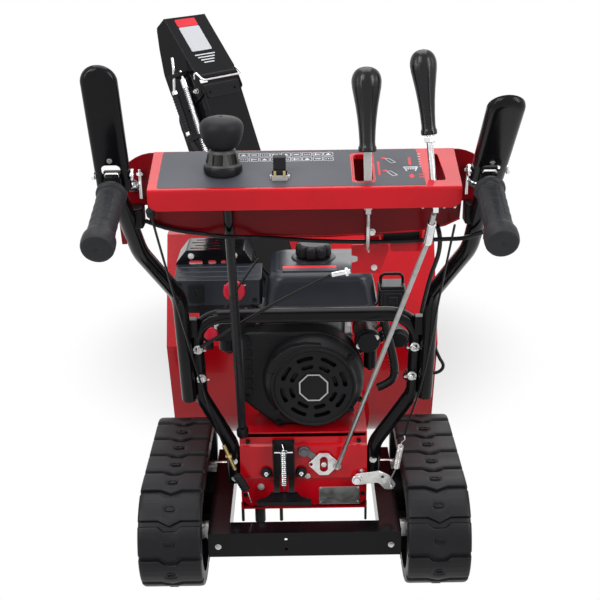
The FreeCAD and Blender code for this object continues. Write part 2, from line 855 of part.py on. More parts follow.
def chute():
    base = ring("chute_ring", "z", (ring_gap, ring_top), ring_radius, spout_radius - sheet_wall)
    to_chute(base)
    keep(base, "chute_ring")

    channel = body("channel")
    foot_front = chute_depth - chute_back
    side = [(-chute_back, ring_top), (foot_front, ring_top), leaning(chute_length - 40, chute_depth),
            leaning(chute_length + pivot_across, 26), leaning(chute_length + pivot_across, 0)]
    for sign in (-1, 1):
        span = sorted((sign * chute_half, sign * (chute_half - sheet_wall)), key=float)
        pad(channel, "x", span, side)
    share = sheet_wall / cosine(chute_lean)
    pad(channel, "x", (-chute_half, chute_half),
        [(-chute_back, ring_top), (share - chute_back, ring_top), leaning(chute_length - 16, sheet_wall),
         leaning(chute_length - 16, 0)])
    rise = 90
    run = rise * (leaning(chute_length - 40, chute_depth)[0] - foot_front) \
        / (leaning(chute_length - 40, chute_depth)[1] - ring_top)
    pad(channel, "x", (-chute_half, chute_half),
        [(foot_front - sheet_wall, ring_top), (foot_front, ring_top), (foot_front + run, ring_top + rise),
         (foot_front + run - sheet_wall, ring_top + rise)])
    bore(channel, "x", (-chute_half - 1, chute_half + 1), pivot_radius + pin_play,
         *leaning(chute_length, pivot_across))
    to_chute(channel)
    keep(channel, "chute_body")


def deflector():
    """The hinged hood on top of the chute, in its own frame with the hinge line on X."""
    hood = body("hood")
    inner = chute_half + side_gap
    back = pivot_across + side_gap + 1
    side = [(-back - sheet_wall, 0), (-14, -14), (14, -14), (60, 50), (56, deflector_length),
            (-back - sheet_wall, deflector_length)]
    for sign in (-1, 1):
        span = sorted((sign * inner, sign * (inner + sheet_wall)), key=float)
        pad(hood, "x", span, side)
    pad(hood, "x", (-inner - sheet_wall, inner + sheet_wall),
        [(-back - sheet_wall, 0), (-back, 0), (-back, deflector_length), (-back - sheet_wall, deflector_length)])
    doc.recompute()
    for sign in (-1, 1):
        span = sorted((sign * (chute_half - sheet_wall - 4), sign * (inner + sheet_wall + 4)), key=float)
        boss(hood, "x", span, pivot_radius)
    spot = leaning(chute_length, pivot_across)
    turn = Rotation(Vector(0, 0, 1), float(chute_turned))
    tilt = Rotation(Vector(1, 0, 0), -float(chute_lean) - float(deflector_tilt))
    hood.Placement = Placement(vector(chute_x, chute_y, spout_top) + turn.multVec(vector(0, *spot)), turn * tilt)
    keep(hood, "deflector")


chute()
deflector()


# ---- engine -----------------------------------------------------------------------------

def engine():
    block = box("engine_block", (-95, 104), (engine_rear, engine_front), (tub_top, 520))
    keep(block, "engine_block")
    shroud = body("shroud")
    pad(shroud, "y", (shroud_rear, engine_rear),
        [(-120, 348), (-55, crank_z - shroud_radius), (crank_x, crank_z - shroud_radius),
         Arc(crank_x, crank_z + shroud_radius, crank_x, crank_z), (-120, crank_z + shroud_radius)])
    keep(shroud, "fan_shroud")
    dome = turned("recoil", [(0, 0), (shroud_radius - 2, 0), (shroud_radius - 6, 14), (80, 26), (75, 38),
                             (0, 40)])
    dome.Placement = Placement(Vector(), Rotation(Vector(1, 0, 0), 90))
    place(dome, crank_x, shroud_rear, crank_z)
    keep(dome, "recoil_cover")

    tank = body("tank")
    pad(tank, "z", (520, 575), [(-70, -90), (146, -90), (146, 95), (-70, 95)])
    pad(tank, "z", (575, 622), [(-50, -72), (126, -72), (126, 85), (-50, 85)])
    rounded(tank, 22, Vector(0, 0, 1))
    keep(tank, "fuel_tank")
    cap = turned("cap", [(0, 0), (38, 0), (42, 4), (42, 24), (36, 30), (0, 31)])
    place(cap, 32, -16, 622)
    keep(cap, "tank_cap")

    heater = body("heater")
    pad(heater, "x", (-248, -76), [(-60, 541), (15, 541), (15, 622), (-20, 622), (-60, 590)])
    keep(heater, "heater_box")
    guard = body("guard")
    pad(guard, "x", (-237, -112), [(15, 500), (97, 500), (97, 642), (15, 642)])
    keep(guard, "muffler_guard")
    keep(box("carburettor", (-200, -95), (-40, 15), (440, 541)), "carburettor")
    keep(rod("starter_motor", "y", (-80, 10), 24, 128, 470), "starter_motor")
    keep(box("switch_box", (146, 172), (-70, -20), (560, 612)), "switch_box")
    cover = body("belt_cover")
    pad(cover, "x", (-90, 90), [(engine_front, tub_top), (133, tub_top), (133, 425), (98, 432), (98, 500),
                                (engine_front, 500)])
    keep(cover, "belt_cover")


engine()


# ---- handles ----------------------------------------------------------------------------

frame_tilt = size("frame_tilt", 14.5)
frame_foot_y = size("frame_foot_y", -100)
frame_foot_z = size("frame_foot_z", 174)
frame_height = size("frame_height", 419)
handle_side = size("handle_side", 20)
handle_back = root((2 * tube_radius) * (2 * tube_radius) - handle_side * handle_side)


def on_frame(across, up, back=0):
    """A point on the plane of the lower frame, or behind it."""
    return (across, frame_foot_y - up * sine(frame_tilt) - back * cosine(frame_tilt),
            frame_foot_z + up * cosine(frame_tilt) - back * sine(frame_tilt))


foot_x = tub_half + tube_radius
inner_radius = tube_radius - tube_wall
half_loop = [on_frame(foot_x, 0), on_frame(foot_x, 97), on_frame(frame_half, 231),
             on_frame(frame_half, frame_height)]


def other_side(point):
    return (-point[0], point[1], point[2])


elbow = (size("elbow_x", 262), size("elbow_y", -380), size("elbow_z", 765))
wrist = (size("wrist_x", 276), size("wrist_y", -497), size("wrist_z", 903))
grip_end = (size("grip_end_x", 281), size("grip_end_y", -632), size("grip_end_z", 860))


def handles():
    loop, bar = tube("lower_frame", half_loop + [other_side(point) for point in reversed(half_loop)],
                     [70, 70, 55, 55, 70, 70], tube_radius, inner_radius)
    keep(loop, "lower_frame")
    points = [on_frame(frame_half + handle_side, 238, handle_back),
              on_frame(frame_half + handle_side, 405, handle_back), elbow, wrist, grip_end]
    right, bar = tube("handle_right", points, [90, 200, 55], tube_radius, inner_radius)
    keep(right, "handle_right")
    keep(mirrored("handle_left", right), "handle_left")
    direction = unit3(wrist, grip_end)
    length = grip_length
    profile = [(tube_radius, 0), (grip_radius + 3, 0), (grip_radius + 3, 6), (grip_radius, 8),
               (grip_radius, length - 10), (grip_radius + 4, length - 7), (grip_radius + 4, length + 3),
               (0, length + 4), (0, length), (tube_radius, length)]
    grip = turned("grip_form", profile)
    start = [finish - part * length for finish, part in zip(grip_end, direction)]
    aimed(grip, start, grip_end)
    keep(grip, "grip_right")
    keep(mirrored("grip_left", grip), "grip_left")
    for name, side, lean in (("left", -1, 20.3), ("right", 1, 41)):
        clutch_lever(name, side, lean, bar)


def unit3(start, finish):
    run = [b - a for a, b in zip(start, finish)]
    length = root(run[0] * run[0] + run[1] * run[1] + run[2] * run[2])
    return [amount / length for amount in run]


lever_half = size("lever_half", 25)
lever_length = size("lever_length", 185)


def clutch_lever(name, side, lean, bar):
    paddle = body("paddle_" + name)
    tip = lever_length - lever_half
    pad(paddle, "y", (0, 2.5), [(-lever_half, 0), (lever_half, 0), (lever_half, tip),
                              Arc(-lever_half, tip, 0, tip)])
    for sign in (-1, 1):
        span = sorted((sign * lever_half, sign * (lever_half - 2.5)), key=float)
        pad(paddle, "x", span, [(0, 0), (12, 0), (12, tip), (0, tip)])
    paddle.Placement = Placement(vector(side * 279, -500, 918), Rotation(Vector(1, 0, 0), lean))
    stem = box("stem_" + name, (side * 279 - 12, side * 279 + 12), (-502, -486), (896, 926))
    right_bar = bar if side > 0 else mirrored("handle_bar_left", bar)
    keep(fuse("clutch_lever_" + name, paddle, cut("stem_coped_" + name, stem, right_bar)),
         "clutch_lever_" + name)


handles()


# ---- console and controls ---------------------------------------------------------------

console_rear = size("console_rear", -505)
console_front = size("console_front", -395)
console_low = size("console_low", 900)
console_high = size("console_high", 936)
panel_wall = size("panel_wall", 2)


def console():
    item = body("console")
    pad(item, "x", (-console_half, console_half),
        [(console_rear, console_low - 32), (console_rear + panel_wall, console_low - 32),
         (console_rear + panel_wall, console_low - 1.5), (console_front, console_high - panel_wall),
         (console_front, console_high), (console_rear, console_low)])
    pad(item, "y", (console_front - panel_wall, console_front),
        [(-console_half, 820), (-150, 795), (150, 795), (console_half, 820),
         (console_half, console_high - 2.6), (-console_half, console_high - 2.6)])
    for sign in (-1, 1):
        span = sorted((sign * (console_half - panel_wall), sign * console_half), key=float)
        pad(item, "x", span, [(-440, 885), (console_front, 885), (console_front, console_high - 1),
                              (-440, 920)])
        doc.recompute()
        corner = [(sign * 232, console_rear - 1), (sign * (console_half + 1), console_rear - 1),
                  (sign * (console_half + 1), -440)]
        pocket(item, "z", (850, 960), corner)
    for x in (101, 204):
        pocket(item, "z", (890, 950), [(x - 9, -488), (x + 9, -488), (x + 9, -408), (x - 9, -408)])
    pocket(item, "z", (890, 950), [(-29, -479), (-7, -479), (-7, -457), (-29, -457)])
    keep(item, "console")
    brackets = []
    for sign in (-1, 1):
        plate = body("bracket")
        span = sorted((sign * 240, sign * 244), key=float)
        pad(plate, "x", span, [(-470, 830), (console_front - panel_wall, 825),
                               (console_front - panel_wall, 900), (-470, 900)])
        brackets.append(plate)
    keep(group("console_brackets", *brackets), "console_brackets")

    for name, x, top, y in (("deflector_lever", 101, (101, -455, 1072), -470),
                            ("speed_lever", 206, (186, -455, 1095), -470)):
        shaft = between(name + "_shaft", (x, y - 4, 860), top, 4)
        grip = turned(name + "_grip", [(0, 0), (10, 0), (13, 40), (17, 95), (12, 118), (0, 122)])
        direction = unit3((x, y - 4, 860), top)
        aimed(grip, [b - 120 * part for b, part in zip(top, direction)], top)
        hanger = box(name + "_hanger", (x - 4, x + 4), (-480, console_front - panel_wall), (858, 868))
        keep(fuse(name, shaft, grip, hanger), name)
    knob = turned("knob", [(0, 2), (26, 2), (20, 30), (12, 34), (30, 46), (33, 60), (26, 78), (0, 86)])
    place(knob, -110, -455, 925)
    keep(knob, "joystick")
    keep(box("toggle_switch", (-28, -8), (-478, -458), (900, 936)), "toggle_switch")
    keep(box("lamp", (130, 190), (-393 + 0, -345), (776, 806)), "lamp")


console()


# ---- skid shoes and scraper -------------------------------------------------------------

shoe_rear = size("shoe_rear", 395)
shoe_front = size("shoe_front", 560)
shoe_height = size("shoe_height", 105)
shoe_foot = size("shoe_foot", 30)


def ground_parts():
    shoe = body("shoe")
    pad(shoe, "x", (house_half, house_half + shoe_wall),
        [(shoe_rear, 22), (shoe_rear + 25, 0), (shoe_front - 25, 0), (shoe_front, 22),
         (shoe_front, shoe_height - 20), (shoe_front - 20, shoe_height), (shoe_rear + 20, shoe_height),
         (shoe_rear, shoe_height - 20)])
    pad(shoe, "x", (house_half - shoe_foot, house_half),
        [(shoe_rear + 25, 0), (shoe_front - 25, 0), (shoe_front - 25, 5), (shoe_rear + 25, 5)])
    keep(shoe, "skid_shoe_right")
    keep(mirrored("skid_shoe_left", shoe), "skid_shoe_left")
    low = auger_z - trough_radius
    inner = house_half - shoe_foot - 6
    keep(box("scraper_bar", (-inner, inner), (auger_y - 20, auger_y + trough_front + 20), (low - 5, low)),
         "scraper_bar")


ground_parts()


# ---- linkages on the back of the machine ------------------------------------------------

rod_radius = size("rod_radius", 4.5)
chute_rod_radius = size("chute_rod_radius", 8)


def linkages():
    keep(between("chute_rod", (-121, tub_rear - 14, tub_top + 10), (-111, -453, 880), chute_rod_radius),
         "chute_rod")
    spine = path("speed_rod_line", [(68, -143, 222), (205, -432, 790), (210, -455, 852)], [20])
    keep(swept("speed_rod", spine, rod_radius), "speed_rod")
    plate = body("shift")
    pad(plate, "y", (-136, -133), [(7, 225), (30, 201), (44, 201), (70, 225), (44, 249), (30, 249)])
    boss(plate, "y", (-133, tub_rear - sheet_wall), 8, 38, 225)
    keep(plate, "shift_plate")
    arm = body("arm")
    pad(arm, "y", (-140, -136), [(104, 184), (118, 184), (160, 184), (172, 170), (184, 174), (176, 192),
                                 (120, 200), (104, 198)])
    boss(arm, "y", (-136, tub_rear - sheet_wall), 7, 112, 191)
    keep(arm, "drive_arm")
    pedal = body("pedal")
    for side in ((-61, -58), (-14, -11)):
        pad(pedal, "x", side, [(tub_rear - sheet_wall, 195), (tub_rear - sheet_wall, 285), (-150, 285),
                               (-152, 195)])
    pad(pedal, "x", (-58, -14), [(tub_rear - sheet_wall, 282), (tub_rear - sheet_wall, 285), (-150, 285),
                                 (-152, 195), (-188, 178), (-188, 173), (-150, 190), (-147, 282)])
    pad(pedal, "z", (173, 178), [(-100, -190), (14, -190), (14, -170), (-10, -152), (-62, -152), (-100, -170)])
    keep(pedal, "tilt_pedal")
    keep(rod("throttle_knob", "y", (-58, -40), 14, -180, 492), "throttle_knob")


linkages()


def build_parts():
    doc.recompute()
    for item in doc.Objects:
        if "Invalid" in item.State or "Error" in item.State:
            raise RuntimeError(f"{item.Name} failed: {item.State}")
    os.makedirs("parts", exist_ok=True)
    for name, item in parts.items():
        shape = item.Shape
        if not shape.isNull() and not shape.isValid():
            print(name, "invalid")
        if shape.isNull() or not shape.isValid() or not shape.Solids:
            raise RuntimeError(f"{name} has no valid shape")
        shape.exportStep(f"parts/{name}.step")
        print(f"{name:22s} solids {len(shape.Solids):2d} faces {len(shape.Faces):4d} "
              f"litres {shape.Volume / 1e6:7.3f} box {shape.BoundBox}")


build_parts()
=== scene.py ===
import json
import math

import bmesh
import bpy
from mathutils import Matrix, Vector


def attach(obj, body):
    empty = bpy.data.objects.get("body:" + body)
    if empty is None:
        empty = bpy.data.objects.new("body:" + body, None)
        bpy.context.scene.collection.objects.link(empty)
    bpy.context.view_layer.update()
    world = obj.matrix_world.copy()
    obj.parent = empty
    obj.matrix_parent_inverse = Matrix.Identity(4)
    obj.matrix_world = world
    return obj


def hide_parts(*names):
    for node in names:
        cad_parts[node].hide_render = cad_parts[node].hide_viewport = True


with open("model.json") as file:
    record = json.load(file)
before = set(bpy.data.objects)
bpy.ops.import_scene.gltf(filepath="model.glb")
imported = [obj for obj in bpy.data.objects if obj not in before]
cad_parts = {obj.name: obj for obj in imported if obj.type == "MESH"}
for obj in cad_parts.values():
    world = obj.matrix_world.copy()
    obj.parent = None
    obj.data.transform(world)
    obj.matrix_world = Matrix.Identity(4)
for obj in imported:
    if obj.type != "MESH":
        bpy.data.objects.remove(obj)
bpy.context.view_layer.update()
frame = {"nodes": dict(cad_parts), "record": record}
nodes = frame["nodes"]
bodyOf = {node: body for body, members in frame["record"]["behaviour"]["bodies"].items()
          for node in members}
slotOf = {entry["node"]: entry["material_slot"] for entry in frame["record"]["subparts"]}
print("frame loaded,", len(nodes), "nodes")


class Wire:
    # a socket that does arithmetic by adding Math nodes
    def __init__(self, graph, socket):
        self.graph, self.socket = graph, socket

    def __add__(self, other):
        return self.graph.maths("ADD", self, other)

    def __radd__(self, other):
        return self.graph.maths("ADD", other, self)

    def __sub__(self, other):
        return self.graph.maths("SUBTRACT", self, other)

    def __rsub__(self, other):
        return self.graph.maths("SUBTRACT", other, self)

    def __mul__(self, other):
        return self.graph.maths("MULTIPLY", self, other)

    def __rmul__(self, other):
        return self.graph.maths("MULTIPLY", other, self)

    def smooth(self, low, high):
        return self.graph.add("ShaderNodeMapRange", {"interpolation_type": "SMOOTHSTEP"},
                              {"Value": self, "From Min": low, "From Max": high})


class Graph:
    # a node tree; every node comes from add, with its settings first and then the values of its sockets
    def __init__(self, tree):
        self.tree = tree
        tree.nodes.clear()

    def add(self, kind, settings=None, values=None, output=0):
        node = self.tree.nodes.new(kind)
        for key, value in (settings or {}).items():
            setattr(node, key, value)
        for key, value in (values or {}).items():
            for part in value if isinstance(value, list) else [value]:
                if isinstance(part, Wire):
                    self.tree.links.new(part.socket, node.inputs[key])
                else:
                    node.inputs[key].default_value = part
        return node if output is None else Wire(self, node.outputs[output])

    def maths(self, operation, *values):
        return self.add("ShaderNodeMath", {"operation": operation}, dict(enumerate(values)))

    def rays(self, *kinds):
        path = self.add("ShaderNodeLightPath", output=None)
        return [Wire(self, path.outputs["Is " + kind + " Ray"]) for kind in kinds]


def tint(colour):
    return colour if isinstance(colour, Wire) else (*colour, 1)


def toned(colour, share, lift=0.0):
    return tuple(part * share + lift for part in colour)


class Finish(Graph):
    # one material and the nodes that make it
    def __init__(self, name):
        self.material = bpy.data.materials.new(name)
        self.material.use_nodes = True
        super().__init__(self.material.node_tree)
        self.place = self.add("ShaderNodeTexCoord", output="Object")
        axes = self.add("ShaderNodeSeparateXYZ", {}, {0: self.place}, None)
        self.x, self.y, self.z = [Wire(self, axes.outputs[axis]) for axis in "XYZ"]

    def noise(self, scale, detail=4.0, rough=0.5, stretch=None):
        place = self.place
        if stretch:
            place = self.add("ShaderNodeMapping", {}, {"Vector": place, "Scale": stretch})
        return self.add("ShaderNodeTexNoise", {}, {"Vector": place, "Scale": scale, "Detail": detail,
                "Roughness": rough})

    def mix(self, factor, first, second):
        return self.add("ShaderNodeMix", {"data_type": "RGBA"},
                        {0: factor, 6: tint(first), 7: tint(second)}, 2)

    def bump(self, height, distance):
        return self.add("ShaderNodeBump", {}, {"Height": height, "Distance": distance, "Strength": 1.0})

    def close(self, shader):
        self.add("ShaderNodeOutputMaterial", {}, {0: shader}, None)
        return self.material

    def shade(self, colour, rough, normal, **more):
        names = {"metallic": "Metallic", "coat": "Coat Weight", "coatRough": "Coat Roughness",
                 "specular": "Specular IOR Level"}
        values = {"Roughness": rough, "Base Color": tint(colour), "Normal": normal}
        values.update({names[key]: value for key, value in more.items()})
        return self.close(self.add("ShaderNodeBsdfPrincipled", {}, values))


def paint(name, colour, rough, coat, specular, deep=0.82):
    # sprayed enamel: faint orange peel under a clear coat, deeper tone in patches, dust and rub marks
    finish = Finish(name)
    patches = finish.noise(7.0, 3.0).smooth(0.35, 0.7)
    tone = finish.mix(patches, colour, toned(colour, deep))
    dust = finish.noise(38.0, 6.0, 0.72).smooth(0.56, 0.82)
    tone = finish.mix(dust * 0.12, tone, toned(colour, 0.8, 0.03))
    peel = finish.bump(finish.noise(380.0, 2.0), 0.00005)
    return finish.shade(tone, rough + dust * 0.12, peel, coat=coat, coatRough=0.05, specular=specular)


def moulded(name, colour, rough, grain=900.0, depth=0.0001, lift=0.3, specular=0.3):
    # moulded plastic or rubber: fine eroded grain and a slight bloom
    finish = Finish(name)
    speckle = finish.noise(grain, 2.0, 0.6)
    bloom = finish.noise(13.0, 4.0, 0.6).smooth(0.35, 0.8)
    tone = finish.mix(bloom, colour, toned(colour, 1 + lift, 0.001))
    return finish.shade(tone, rough + speckle * 0.14 - 0.07 + bloom * 0.06, finish.bump(speckle, depth),
                        specular=specular)


def plated(name, colour, rough, stretch=(1, 1, 1), dull=0.62):
    # zinc or chrome plate with clouding and fine drawing marks
    finish = Finish(name)
    cloud = finish.noise(48.0, 5.0, 0.65).smooth(0.35, 0.75)
    tone = finish.mix(cloud, colour, toned(colour, dull))
    marks = finish.noise(320.0, 3.0, 0.7, stretch)
    return finish.shade(tone, rough + cloud * 0.16, finish.bump(marks, 0.00003), metallic=1.0)


def treadRubber():
    # track rubber: fine lines across the belt, dusty hollows
    finish = Finish("treadRubber")
    lines = finish.maths("SINE", (finish.y + finish.z * 0.6) * 1500.0)
    bloom = finish.noise(26.0, 5.0, 0.65, (0.5, 1, 1)).smooth(0.4, 0.75)
    tone = finish.mix(bloom, (0.0055, 0.0055, 0.0068), (0.0095, 0.0095, 0.0115))
    grain = finish.noise(700.0, 2.0, 0.6)
    return finish.shade(tone, 0.4 + bloom * 0.14, finish.bump(lines * 0.35 + grain, 0.00012), specular=0.2)


# paint: colour, roughness, coat, specular, depth; moulded: colour, roughness, grain, depth, bloom, specular
paints = {
    # a darkened copy of redPaint: painted shade for the console skirt, which is the same red paint in
    # shadow
    "deepRed": ((0.2, 0.0015, 0.005), 0.3, 0.08, 0.15),
    "redPaint": ((0.56, 0.0025, 0.0105), 0.22, 0.16, 0.2),
    "blackPaint": ((0.004, 0.004, 0.0052), 0.17, 0.06, 0.12, 0.9),
    "satinBlack": ((0.006, 0.006, 0.0075), 0.36, 0.02, 0.14, 0.9),
}
plastics = {
    "blackPlastic": ((0.006, 0.006, 0.0072), 0.34, 900.0, 0.0001, 0.3, 0.18),
    "leverPlastic": ((0.005, 0.005, 0.0062), 0.2, 700.0, 0.00003, 0.2, 0.3),
    "softBlack": ((0.0085, 0.0085, 0.0105), 0.52, 1300.0, 0.00012, 0.4, 0.18),
    "slatePlastic": ((0.0125, 0.0142, 0.0205), 0.3, 1100.0, 0.00006, 0.25, 0.3),
    "recoilPlastic": ((0.0065, 0.0065, 0.0075), 0.42, 1100.0, 0.0001, 0.3, 0.16),
    "gripRubber": ((0.016, 0.0165, 0.02), 0.5, 1500.0, 0.0001, 0.4, 0.22),
    "coneGrey": ((0.05, 0.05, 0.048), 0.42, 1200.0, 0.00008, 0.3, 0.3),
    "decalGrey": ((0.052, 0.055, 0.068), 0.42, 1600.0, 0.00003, 0.12, 0.25),
    "redPlastic": ((0.5, 0.006, 0.028), 0.3, 800.0, 0.00005, 0.1, 0.35),
    "redMark": ((0.62, 0.02, 0.035), 0.4, 800.0, 0.00003, 0.1, 0.3),
    "whiteMark": ((0.62, 0.63, 0.66), 0.45, 800.0, 0.00003, 0.04, 0.3),
    "paleLabel": ((0.5, 0.51, 0.54), 0.4, 500.0, 0.00003, 0.1, 0.3),
}
metals = {
    "zinc": ((0.66, 0.66, 0.65), 0.24),
    "chrome": ((0.78, 0.78, 0.8), 0.12, (1, 1, 1), 0.8),
    "brass": ((0.55, 0.44, 0.2), 0.28),
    "plateSilver": ((0.42, 0.42, 0.41), 0.3, (8, 1, 1), 0.8),
    "castIron": ((0.16, 0.16, 0.17), 0.5),
    "engineMetal": ((0.28, 0.28, 0.29), 0.42),
}
finishes = {"treadRubber": treadRubber()}
for maker, recipes in ((paint, paints), (moulded, plastics), (plated, metals)):
    for name, recipe in recipes.items():
        finishes[name] = maker(name, *recipe)

# the finishes of each material slot; the first one dresses the nodes that are carried over
slotFinishes = {
    "red_paint": ["redPaint", "deepRed"], "black_paint": ["blackPaint", "satinBlack"],
    "track_rubber": ["treadRubber"], "grip_rubber": ["gripRubber", "softBlack"],
    "black_plastic": ["blackPlastic", "leverPlastic", "recoilPlastic", "coneGrey", "decalGrey", "whiteMark",
                      "slatePlastic"],
    "slate_plastic": ["slatePlastic"], "red_plastic": ["redPlastic", "redMark"],
    "zinc": ["zinc", "chrome", "brass", "plateSilver", "paleLabel", "castIron"],
    "engine_metal": ["engineMetal"], "gear_iron": ["castIron"],
}
for node, slotName in slotOf.items():
    nodes[node].data.materials.clear()
    nodes[node].data.materials.append(finishes[slotFinishes[slotName][0]])
print("finishes on", len(nodes), "nodes")


# forms, in millimetres until they become pieces

axisTurns = {"x": lambda w, u, v: (w, u, v), "y": lambda w, u, v: (u, w, v), "z": lambda w, u, v: (u, v, w)}
aft = (0, -1, 0)


def bend(before, corner, after, radius, steps, limit):
    # the arc that rounds one corner, or the corner itself
    before, after = before - corner, after - corner
    turn = before.angle(after)
    if radius <= 0 or turn >= 3.1:
        return [corner]
    reach = min(radius / math.tan(turn / 2), before.length * limit, after.length * limit)
    if reach <= 0.01:
        return [corner]
    start, end = corner + before.normalized() * reach, corner + after.normalized() * reach
    toCentre = (start + end) / 2 - corner
    centre = corner + toCentre.normalized() * (reach / math.cos(turn / 2))
    arcRadius = reach * math.tan(turn / 2)
    return [centre + (start.lerp(end, step / steps) - centre).normalized() * arcRadius
            for step in range(steps + 1)]


def rounding(outline, radius, steps=5):
    # rounds the corners of an outline; radius is one value or one for each corner
    radii = radius if isinstance(radius, (list, tuple)) else [radius] * len(outline)
    corners = [Vector(corner) for corner in outline]
    path = []
    for n, corner in enumerate(corners):
        path += bend(corners[n - 1], corner, corners[(n + 1) % len(corners)], radii[n], steps, 0.48)
    return [tuple(spot) for spot in path]


def rectangle(lowU, highU, lowV, highV, radius=0, steps=5):
    return rounding([(lowU, lowV), (highU, lowV), (highU, highV), (lowU, highV)], radius, steps)


def circle(count, radius=1.0, shift=0.0):
    # evenly spaced points of a circle, as (u, v)
    turns = [2 * math.pi * (n + shift) / count for n in range(count)]
    return [(radius * math.cos(turn), radius * math.sin(turn)) for turn in turns]


def disc(u, v, radius, steps=32):
    return [(u + du, v + dv) for du, dv in circle(steps, radius)]


def bentLine(points, radii, steps=8):
    # a line of straight runs joined by arcs, for rods and tubes
    spots = [Vector(point) for point in points]
    path = [spots[0]]
    for n, radius in enumerate(radii, 1):
        path += bend(spots[n - 1], spots[n], spots[n + 1], radius, steps, 0.49)
    return path + [spots[-1]]


def frameAlong(way):
    # two directions square to a way
    hint = Vector((0, 0, 1)) if abs(way.normalized().z) < 0.9 else Vector((1, 0, 0))
    side = way.cross(hint).normalized()
    return side, side.cross(way).normalized()


def linked(name, mesh):
    item = bpy.data.objects.new(name, mesh)
    bpy.context.collection.objects.link(item)
    return item


def solid(name, mesh):
    # a filled bmesh becomes an object
    data = bpy.data.meshes.new(name)
    mesh.to_mesh(data)
    mesh.free()
    return linked(name, data)


class Form:
    # closed solids gathered in one mesh
    def __init__(self):
        self.mesh = bmesh.new()

    def loft(self, rings, closed=False):
        rows = [[self.mesh.verts.new(point) for point in ring] for ring in rings]
        pairs = list(zip(rows, rows[1:])) + ([(rows[-1], rows[0])] if closed else [])
        count = len(rows[0])
        for first, second in pairs:
            for n in range(count):
                m = (n + 1) % count
                self.mesh.faces.new((first[n], first[m], second[m], second[n]))
        if not closed:
            self.mesh.faces.new(rows[0][::-1])
            self.mesh.faces.new(rows[-1])
        return self

    def slab(self, axis, span, outline, top=None):
        # a prism along an axis; top gives another outline for its far end
        turned = axisTurns[axis]
        near = [turned(span[0], *point[:2]) for point in outline]
        far = [turned(span[1], *point[:2]) for point in (top or outline)]
        return self.loft([near, far])

    def lathe(self, profile, start, end, segments=32):
        # turns (radius, height) points about the line from start towards end
        start, way = Vector(start), (Vector(end) - Vector(start)).normalized()
        side, up = frameAlong(way)
        rings = []
        for radius, height in profile:
            middle, radius = start + way * height, max(radius, 0.02)
            rings.append([middle + side * radius * u + up * radius * v for u, v in circle(segments)])
        return self.loft(rings)

    def bar(self, start, end, radius, segments=24, edge=0.4):
        length = (Vector(end) - Vector(start)).length
        edge = min(edge, radius * 0.4, length * 0.3)
        return self.lathe([(radius - edge, 0), (radius, edge), (radius, length - edge),
                           (radius - edge, length)], start, end, segments)

    def rod(self, points, radius, segments=16, closed=False):
        # a round bar along a line; its section turns with the line
        points = [Vector(point) for point in points]
        rings, side = [], None
        for index, point in enumerate(points):
            before = points[index - 1] if index or closed else point
            after = points[(index + 1) % len(points)] if index + 1 < len(points) or closed else point
            way = (after - before).normalized()
            if side is None:
                side = frameAlong(way)[0]
            side = (side - way * side.dot(way)).normalized()
            up = way.cross(side)
            rings.append([point + side * radius * u + up * radius * v for u, v in circle(segments)])
        return self.loft(rings, closed)

    def move(self, matrix):
        self.mesh.transform(matrix)
        return self

    def join(self, other):
        other.mesh.normal_update()
        spare = bpy.data.meshes.new("spare")
        other.mesh.to_mesh(spare)
        self.mesh.from_mesh(spare)
        bpy.data.meshes.remove(spare)
        return self

    def curl(self, axis, keep, offset, segments=4):
        # rounds the edges that run along an axis and that keep() picks by their middle
        way = Vector(axisTurns[axis](1, 0, 0))
        edges = []
        for edge in self.mesh.edges:
            first, second = edge.verts[0].co, edge.verts[1].co
            straight = (second - first).length > 0.1 and abs((second - first).normalized().dot(way)) > 0.98
            if straight and keep((first + second) / 2):
                edges.append(edge)
        bmesh.ops.bevel(self.mesh, geom=edges, offset=offset, segments=segments, profile=0.5,
                        affect="EDGES", clamp_overlap=False)
        return self

    def object(self, name):
        bmesh.ops.remove_doubles(self.mesh, verts=self.mesh.verts, dist=0.0005)
        bmesh.ops.recalc_face_normals(self.mesh, faces=self.mesh.faces)
        self.mesh.transform(Matrix.Scale(0.001, 4))
        return solid(name, self.mesh)


def baked(item, name):
    # applies every modifier and leaves a plain mesh
    mesh = bpy.data.meshes.new_from_object(item.evaluated_get(bpy.context.evaluated_depsgraph_get()))
    old = item.data
    item.modifiers.clear()
    item.data = mesh
    bpy.data.meshes.remove(old)
    item.name = mesh.name = name


def mounted(item, body, finish, replaced=()):
    # the finished piece gets its finish and rides on its body
    item.data.materials.clear()
    item.data.materials.append(finishes[finish])
    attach(item, body)
    if replaced:
        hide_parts(*replaced)


def piece(name, form, finish, replaced=(), body="machine", bevel=0.0, segments=2, cut=(),
          limit=32, smooth=32):
    # a form becomes a finished piece: cut, edges eased, shaded
    item = form if isinstance(form, bpy.types.Object) else form.object(name)
    cutters = [shape.object(name + "Cut") for shape in (cut if isinstance(cut, (list, tuple)) else [cut])]
    for cutter in cutters:
        hollow = item.modifiers.new("cut", "BOOLEAN")
        hollow.object, hollow.operation, hollow.solver = cutter, "DIFFERENCE", "EXACT"
    if bevel:
        ease = item.modifiers.new("ease", "BEVEL")
        ease.width, ease.segments, ease.limit_method = bevel * 0.001, segments, "ANGLE"
        ease.angle_limit = math.radians(limit)
    corners = item.modifiers.new("evenNormals", "WEIGHTED_NORMAL")
    corners.keep_sharp = True
    item.data.shade_smooth()
    item.data.set_sharp_from_angle(angle=math.radians(smooth))
    baked(item, name)
    for cutter in cutters:
        bpy.data.objects.remove(cutter)
    mounted(item, body, finish, replaced)


